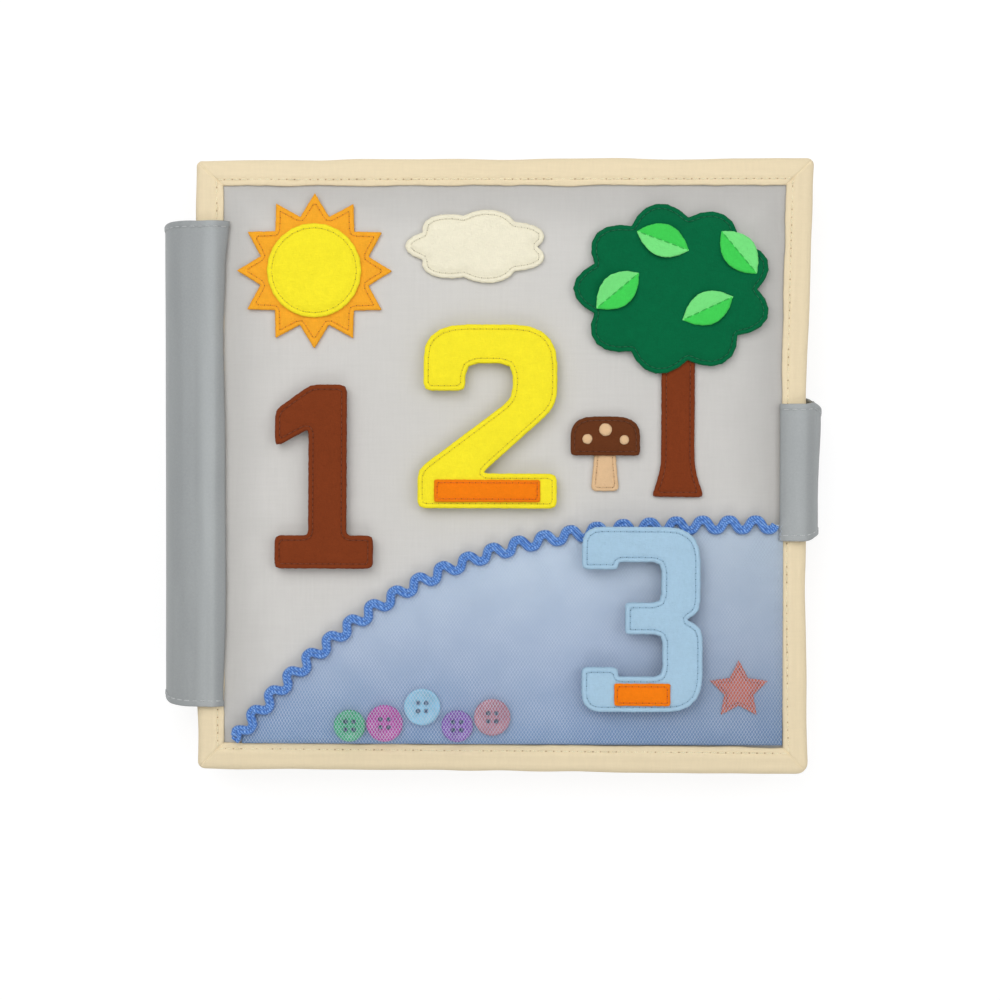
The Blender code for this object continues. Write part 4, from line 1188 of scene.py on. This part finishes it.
def net_height(x, y):
    """The height of the net's upper side, with soft puckers along its lower seam."""
    i = min(max((x - NET_XS[0]) / (NET_XS[1] - NET_XS[0]), 0), len(NET_XS) - 2)
    j = min(max((y - NET_YS[0]) / (NET_YS[1] - NET_YS[0]), 0), len(NET_YS) - 2)
    a, b = int(i), int(j)
    cell = NET_HEIGHTS[a:a + 2, b:b + 2]
    height = float(np.array([1 - i + a, i - a]) @ cell @ np.array([1 - j + b, j - b]))
    room = min(1.0, max(0.0, height - NET_FLOOR) / (2 * MM))
    pucker = NET_PUCKER * bell(y - BACKING_LOW.y - 5 * MM, 6 * MM)
    pucker *= math.sin(x / (3.3 * MM) + 2.5 * wobble(x, 0.0, 24 * MM, 9))
    return height + room * (pucker + NET_WAVE * wobble(x + y * 0.5, y, 26 * MM, 3.0))


def backing_piece():
    def height(x, y, gap):
        return 0.0, 0.1 * MM * wobble(x, y, 18 * MM, 4) - 0.1 * MM
    piece = felt_mesh(
        "pocket_backing_cloth", BACKING_LOOP, BACKING_LOW.z, BACKING_HIGH.z, FINISH["pocket_cotton"], height,
        step=3 * MM, edge=0.2 * MM,
    )
    dress(piece, COVER, "pocket_cotton", "pocket_backing")


def strand_runs(lean):
    """Straight runs of net strands leaning one way, cut to the pocket: (x, y, beat) at each step."""
    low_x, high_x = BACKING_LOW.x + NET_CLEAR, BACKING_HIGH.x - NET_CLEAR
    low_y, high_y = BACKING_LOW.y + 0.4 * MM, BACKING_HIGH.y
    slope = math.tan(lean)
    pitch = NET_PITCH / math.cos(lean)
    spread = (high_y - low_y) / abs(slope)
    steps = int((high_y - low_y) / (NET_PITCH * 1.2))
    runs = []
    for k in range(int((high_x - low_x + 2 * spread) / pitch)):
        run = []
        for s in range(steps + 1):
            y = low_y + (high_y - low_y) * s / steps
            x = low_x - spread + k * pitch + (y - low_y) / slope
            if low_x <= x <= high_x and y < np.interp(x, MOUTH_X, MOUTH_Y) + 0.6 * MM:
                run.append((x + 0.10 * MM * wobble(x, y, 5 * MM, lean), y, k + s))
            else:
                runs.append(run)
                run = []
        runs.append(run)
    return [run for run in runs if len(run) > 1]


def net_piece():
    """A diamond net: two leaning families of strands passing over and under."""
    points, faces = [], []
    for lean, over in ((NET_LEAN, 1), (-NET_LEAN, -1)):
        side = Vector((math.sin(lean), -math.cos(lean)))
        for run in strand_runs(lean):
            faces += tube(len(run), STRAND_SIDES, len(points), flip=lean < 0)
            for x, y, beat in run:
                z = net_height(x, y) - NET_DEPTH + NET_WEAVE * over * (1 if beat % 2 else -1)
                for k in range(STRAND_SIDES):
                    angle = math.pi / 4 + math.pi / 2 * k
                    reach = STRAND * math.cos(angle)
                    points.append((x + side.x * reach, y + side.y * reach, z + STRAND * math.sin(angle)))
    piece = mesh_object("pocket_net", points, faces, FINISH["mesh"])
    dress(piece, COVER, "mesh", "pocket_mesh")


def trim_piece():
    """Wavy braid: a thick band with two cords and a groove between them, waving along the mouth."""
    run = MOUTH_LENGTH - TRIM_SHORT + TRIM_TAIL
    waves = round(run / TRIM_WAVE)
    steps = waves * TRIM_STEPS
    middle = []
    for i in range(steps + 1):
        s = run * i / steps - TRIM_TAIL
        phase = 2 * math.pi * waves * i / steps
        wave = (math.sin(phase) + 0.10 * math.sin(3 * phase)) * (1 + 0.10 * wobble(s, 0.0, 14 * MM, 6))
        middle.append(mouth_place(s) + left_of(mouth_direction(s)) * (TRIM_SWING * wave))
    foot, top = TRIM_LOW.z, TRIM_HIGH.z + TRIM_SWELL
    points = []
    for i, centre in enumerate(middle):
        out = left_of((middle[min(i + 1, steps)] - middle[max(i - 1, 0)]).normalized())
        for k in range(TRIM_ROWS + 1):
            share = -1 + 2 * k / TRIM_ROWS
            inner = abs(share) < 0.92
            ridge = 0.62 + 0.38 * abs(math.sin(math.pi * share)) if inner else 0.25
            ridge *= math.sqrt(max(0.0, 1 - abs(share) ** 6))
            yarn = TRIM_YARN * math.sin(i * 1.9 + 5 * abs(share)) if inner else 0.0
            spot = centre + out * (share * TRIM_WIDE / 2)
            points.append((*spot, foot + TRIM_FOOT + (top - foot - TRIM_FOOT) * ridge + yarn))
        points += [(*(centre + out * (share * TRIM_WIDE / 2)), foot) for share in (0.94, -0.94)]
    piece = mesh_object("wavy_braid", points, tube(steps + 1, TRIM_ROWS + 3), FINISH["trim"])
    dress(piece, COVER, "trim", "pocket_trim")
    seam = [Vector((*p, top - 2 * THREAD_DEPTH)) for p in middle[6:-6]]
    sew("wavy_braid", [seam], COVER, "trim", BLUE_THREAD, TRIM_STITCH)


backing_piece()
net_piece()
trim_piece()


# Loose buttons

BUTTON_HOLE = 0.85 * MM
HOLE_REACH = 1.45 * MM
# The dish's depth, and how far in from the button's edge the dish ends and the rim starts
DISH, DISH_INSET, RIM_INSET = 0.6 * MM, 2.2 * MM, 1.65 * MM
RIM_DROP = 0.18 * MM
RIM_ROUND, UNDER_ROUND = 0.7 * MM, 0.8 * MM


def button_profile(radius, half):
    """Half a button's section from its dished middle, over the rim, to its underside."""
    profile = [(radius * 0.45, half - DISH), (radius - DISH_INSET, half - DISH)]
    profile.append((radius - RIM_INSET, half - RIM_DROP))
    for bend, way, order in ((RIM_ROUND, 1, range(6, -1, -1)), (UNDER_ROUND, -1, range(7))):
        for angle in (math.pi / 12 * k for k in order):
            height = half - bend + bend * math.sin(angle)
            profile.append((radius - bend + bend * math.cos(angle), way * height))
    return profile


def button_piece(node, sides=72):
    """A four-hole button: rounded rim, dished middle, holes right through."""
    low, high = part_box(node)
    centre = (low + high) / 2
    profile = button_profile((high.x - low.x) / 2, (high.z - low.z) / 2)
    turns = [2 * math.pi * k / sides for k in range(sides)]
    points = [centre + Vector((r * math.cos(t), r * math.sin(t), z)) for r, z in profile for t in turns]
    piece = mesh_object(f"{node}_disc", points, tube(len(profile), sides), FINISH[node])
    cutters = bmesh.new()
    for x, y in ((-1, -1), (-1, 1), (1, -1), (1, 1)):
        pin = bmesh.ops.create_cone(
            cutters, cap_ends=True, segments=28, radius1=BUTTON_HOLE, radius2=BUTTON_HOLE, depth=6 * MM,
        )
        bmesh.ops.translate(cutters, verts=pin["verts"], vec=centre + Vector((x, y, 0)) * HOLE_REACH)
    pins = placed(f"{node}_holes", bpy.data.meshes.new(f"{node}_holes"))
    cutters.to_mesh(pins.data)
    cutters.free()
    drill = piece.modifiers.new("holes", "BOOLEAN")
    drill.object = pins
    drill.solver = "EXACT"
    bpy.context.view_layer.objects.active = piece
    bpy.ops.object.modifier_apply(modifier="holes")
    bpy.data.objects.remove(pins)
    piece.data.shade_smooth()
    piece.data.set_sharp_from_angle(angle=math.radians(40))
    dress(piece, node, node, node)


for plastic in PLASTICS:
    button_piece(f"button_{plastic}")


# Tree leaves, mushroom dots, hook and loop patches, hinge tapes

LEAF_CURL = 2.3 * MM
LEAF_RIPPLE = 0.25 * MM
LEAF_CREASE = 0.35 * MM
RIB_INSET_SHARE = 0.06
RIB_STITCH = (1.9 * MM, 0.8 * MM, 0.2 * MM)


def tree_leaf(number):
    """A felt leaf sewn down along its midrib, with its two halves lifting off the crown."""
    node = f"tree_leaf_{number}"
    low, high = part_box(node)
    loop = top_outline(node)
    tip_a, tip_b = max(((a, b) for a in loop for b in loop), key=lambda pair: (pair[0] - pair[1]).length)
    along = (tip_b - tip_a).normalized()
    across = left_of(along)
    length = (tip_b - tip_a).length
    widest = max(abs((p - tip_a).dot(across)) for p in loop)
    lean = 1 if number % 2 else -1

    def height(x, y, gap):
        offset = Vector((x, y)) - tip_a
        share = offset.dot(along) / length
        out = offset.dot(across) / widest
        free = abs(out) ** 1.6
        curl = LEAF_CURL * free * (0.75 + 0.35 * math.sin(3.0 * share + number))
        if out * lean < 0:
            curl *= 0.55
        wave = LEAF_RIPPLE * math.sin(share * 9 + number) * free
        return curl + wave, -LEAF_CREASE * bell(out * widest, 0.5 * MM)

    piece = felt_mesh(
        f"{node}_felt", loop, low.z, high.z, FINISH["felt_leaf_green"], height, 0.6 * MM, seed=40.5 + number,
    )
    piece.data.materials.append(LEAF_PALE)
    for face in piece.data.polygons:
        face.material_index = int((face.center.xy - tip_a).dot(across) * lean > 0)
    dress(piece, COVER, "felt_leaf_green", node)
    shares = [RIB_INSET_SHARE + (1 - 2 * RIB_INSET_SHARE) * k / 60 for k in range(61)]
    rib = [Vector((*tip_a.lerp(tip_b, share), high.z - 0.2 * MM)) for share in shares]
    sew(node, [rib], COVER, "felt_leaf_green", THREAD["felt_leaf_green"], RIB_STITCH)


DOT_THICK = 0.9 * MM
DOT_PUFF = 0.12 * MM
DOT_SUNK = 0.1 * MM


def dot_piece(name, middle, across, foot, seed):
    """A small round of felt."""
    def height(x, y, gap):
        return 0.0, DOT_PUFF * smooth_step(gap / (1.5 * MM))

    turns = [math.pi * k / 12 for k in range(24)]
    loop = [middle + Vector((math.cos(t), math.sin(t))) * (across / 2) for t in turns]
    piece = felt_mesh(
        name, loop, foot, foot + DOT_THICK, FINISH["felt_cream"], height, 0.6 * MM, 0.35 * MM, seed,
    )
    dress(piece, COVER, "felt_cream")


PATCH_CORNER = 1.0 * MM
PATCH_CLEAR = 0.05 * MM
PATCH_DIP = 0.12 * MM
PATCH_SEAM = 1.2 * MM


def patch_piece(node, body):
    """A hook or loop patch with sewn edges."""
    def height(x, y, gap):
        return 0.0, -PATCH_DIP * bell(gap - PATCH_SEAM, 0.5 * MM)

    low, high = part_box(node)
    middle = (low + high) / 2
    reach = (high - middle).xy - Vector((1, 1)) * (PATCH_CORNER + PATCH_CLEAR)
    loop = []
    for turn, (x, y) in enumerate(((1, 1), (-1, 1), (-1, -1), (1, -1))):
        for angle in (math.pi / 2 * (turn + k / 5) for k in range(6)):
            bend = Vector((math.cos(angle), math.sin(angle))) * PATCH_CORNER
            loop.append(middle.xy + Vector((x * reach.x, y * reach.y)) + bend)
    piece = felt_mesh(
        f"{node}_tape", loop, low.z, high.z, FINISH["hook_tape"], height, 1.0 * MM, 0.2 * MM, 3.3,
    )
    dress(piece, body, "hook_tape", node)


def hinge_tape(leaf, rings=61, sides=12):
    """The folded tape that sews an inner leaf into the sleeve."""
    low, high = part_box(f"{leaf}_hinge_tape")
    middle, half = (low + high) / 2, (high - low) / 2
    points = []
    for j in range(rings):
        y = low.y + (high.y - low.y) * j / (rings - 1)
        for angle in (2 * math.pi * k / sides for k in range(sides)):
            across, up = math.cos(angle), math.sin(angle)
            x = middle.x + half.x * math.copysign(abs(across) ** 0.35, across)
            z = middle.z + half.z * math.copysign(abs(up) ** 0.7, up)
            points.append((x, y, z + 0.12 * MM * wobble(x, y, 9 * MM, 2)))
    piece = mesh_object(f"{leaf}_hinge_cloth", points, tube(rings, sides), FINISH["page_cotton"])
    dress(piece, leaf, "page_cotton", f"{leaf}_hinge_tape")


for number in (1, 2, 3, 4):
    tree_leaf(number)

CAP_LOW, CAP_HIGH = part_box("mushroom_cap")
# Each dot's place on the cap's box, as shares of it, and its width in millimetres
DOT_SHARES = ((0.24, 0.42, 3.6), (0.5, 0.66, 4.6), (0.77, 0.4, 3.4))
for number, (share_x, share_y, across) in enumerate(DOT_SHARES):
    place = CAP_LOW.xy + (CAP_HIGH - CAP_LOW).xy * Vector((share_x, share_y))
    dot_piece(f"mushroom_dot_{number + 1}", place, across * MM, CAP_HIGH.z - DOT_SUNK, across)

for numeral in NUMERALS:
    patch_piece(f"{numeral}_loop_patch", COVER)
    patch_piece(f"{numeral}_hook_patch", numeral)
patch_piece("strap_hook_patch", "strap")
patch_piece("strap_loop_patch", "back_cover")
hinge_tape("leaf_2")
hinge_tape("leaf_3")


# Light, floor, background and camera

def area_lamp(name, place, width, height, power):
    """A soft rectangular lamp that aims at the middle of the stack."""
    data = bpy.data.lights.new(name, "AREA")
    data.shape = "RECTANGLE"
    data.size, data.size_y = width, height
    data.energy = power
    lamp = placed(name, data)
    lamp.location = place
    lamp.rotation_euler = (Vector((0, 0, 0.02)) - lamp.location).to_track_quat("-Z", "Y").to_euler()


def mixed_shader(tree, factor, plain, seen, output):
    """Shows one shader mixed with another by a factor."""
    mixed = add_node(tree, "ShaderNodeMixShader", {0: factor, 1: plain, 2: seen})
    tree.links.new(mixed.outputs["Shader"], tree.nodes[output].inputs["Surface"])


def floor_surface():
    """White paper, shown nearly shadowless to the camera."""
    look = Look("floor_paper")
    rays = add_node(look.tree, "ShaderNodeLightPath")
    white = add_node(look.tree, "ShaderNodeEmission", {"Color": (1, 1, 1, 1), "Strength": 1.12})
    seen = look.maths("MULTIPLY", rays.outputs["Is Camera Ray"], 0.72)
    mixed_shader(look.tree, seen, look.shader.outputs["BSDF"], white.outputs["Emission"], "Material Output")
    return look.done(0.9, {"Base Color": (0.86, 0.86, 0.86, 1)})


def light_world():
    """The background shines white to the camera and through clear things, and softly elsewhere."""
    world = bpy.data.worlds.new("studio")
    world.use_nodes = True
    bpy.context.scene.world = world
    tree = world.node_tree
    rays = add_node(tree, "ShaderNodeLightPath")
    seen = add_node(tree, "ShaderNodeMath", {
        0: rays.outputs["Is Camera Ray"], 1: rays.outputs["Is Transmission Ray"],
    }, operation="MAXIMUM").outputs[0]
    soft = add_node(tree, "ShaderNodeBackground", {"Color": (0.98, 0.985, 1.0, 1), "Strength": 0.38})
    white = add_node(tree, "ShaderNodeBackground", {"Color": (1, 1, 1, 1), "Strength": 1.0})
    mixed_shader(tree, seen, soft.outputs["Background"], white.outputs["Background"], "World Output")


# Name, place, width, height and power in watts
LAMPS = (
    ("key", (-0.30, 0.42, 0.90), 0.9, 0.9, 6.0), ("fill", (0.60, 0.10, 0.80), 0.7, 0.7, 2.3),
    ("front", (0.0, -0.70, 0.70), 0.7, 0.4, 1.4),
)
for lamp in LAMPS:
    area_lamp(*lamp)
light_world()

FLOOR_HALF, FLOOR_DROP = 3.0, 0.5 * MM
floor_turns = ((-1, -1), (1, -1), (1, 1), (-1, 1))
floor_corners = [(x * FLOOR_HALF, y * FLOOR_HALF, -FLOOR_DROP) for x, y in floor_turns]
mesh_object("floor", floor_corners, [(0, 1, 2, 3)], floor_surface(), smooth=False)

CAMERA_HEIGHT = 0.60
CAMERA_SHIFT = Vector((-1.45 * MM, -12.65 * MM, 0))
CAMERA_ANGLE, CAMERA_ROLL = math.radians(33.5), math.radians(0.25)
camera = placed("camera", bpy.data.cameras.new("camera"))
camera.data.lens_unit = "FOV"
camera.data.angle = CAMERA_ANGLE
camera.location = Vector((PAGE_X, 0, PAGE_FACE + CAMERA_HEIGHT)) + CAMERA_SHIFT
camera.rotation_euler = (0, 0, CAMERA_ROLL)
bpy.context.scene.camera = camera
bpy.context.scene.view_settings.view_transform = "Standard"
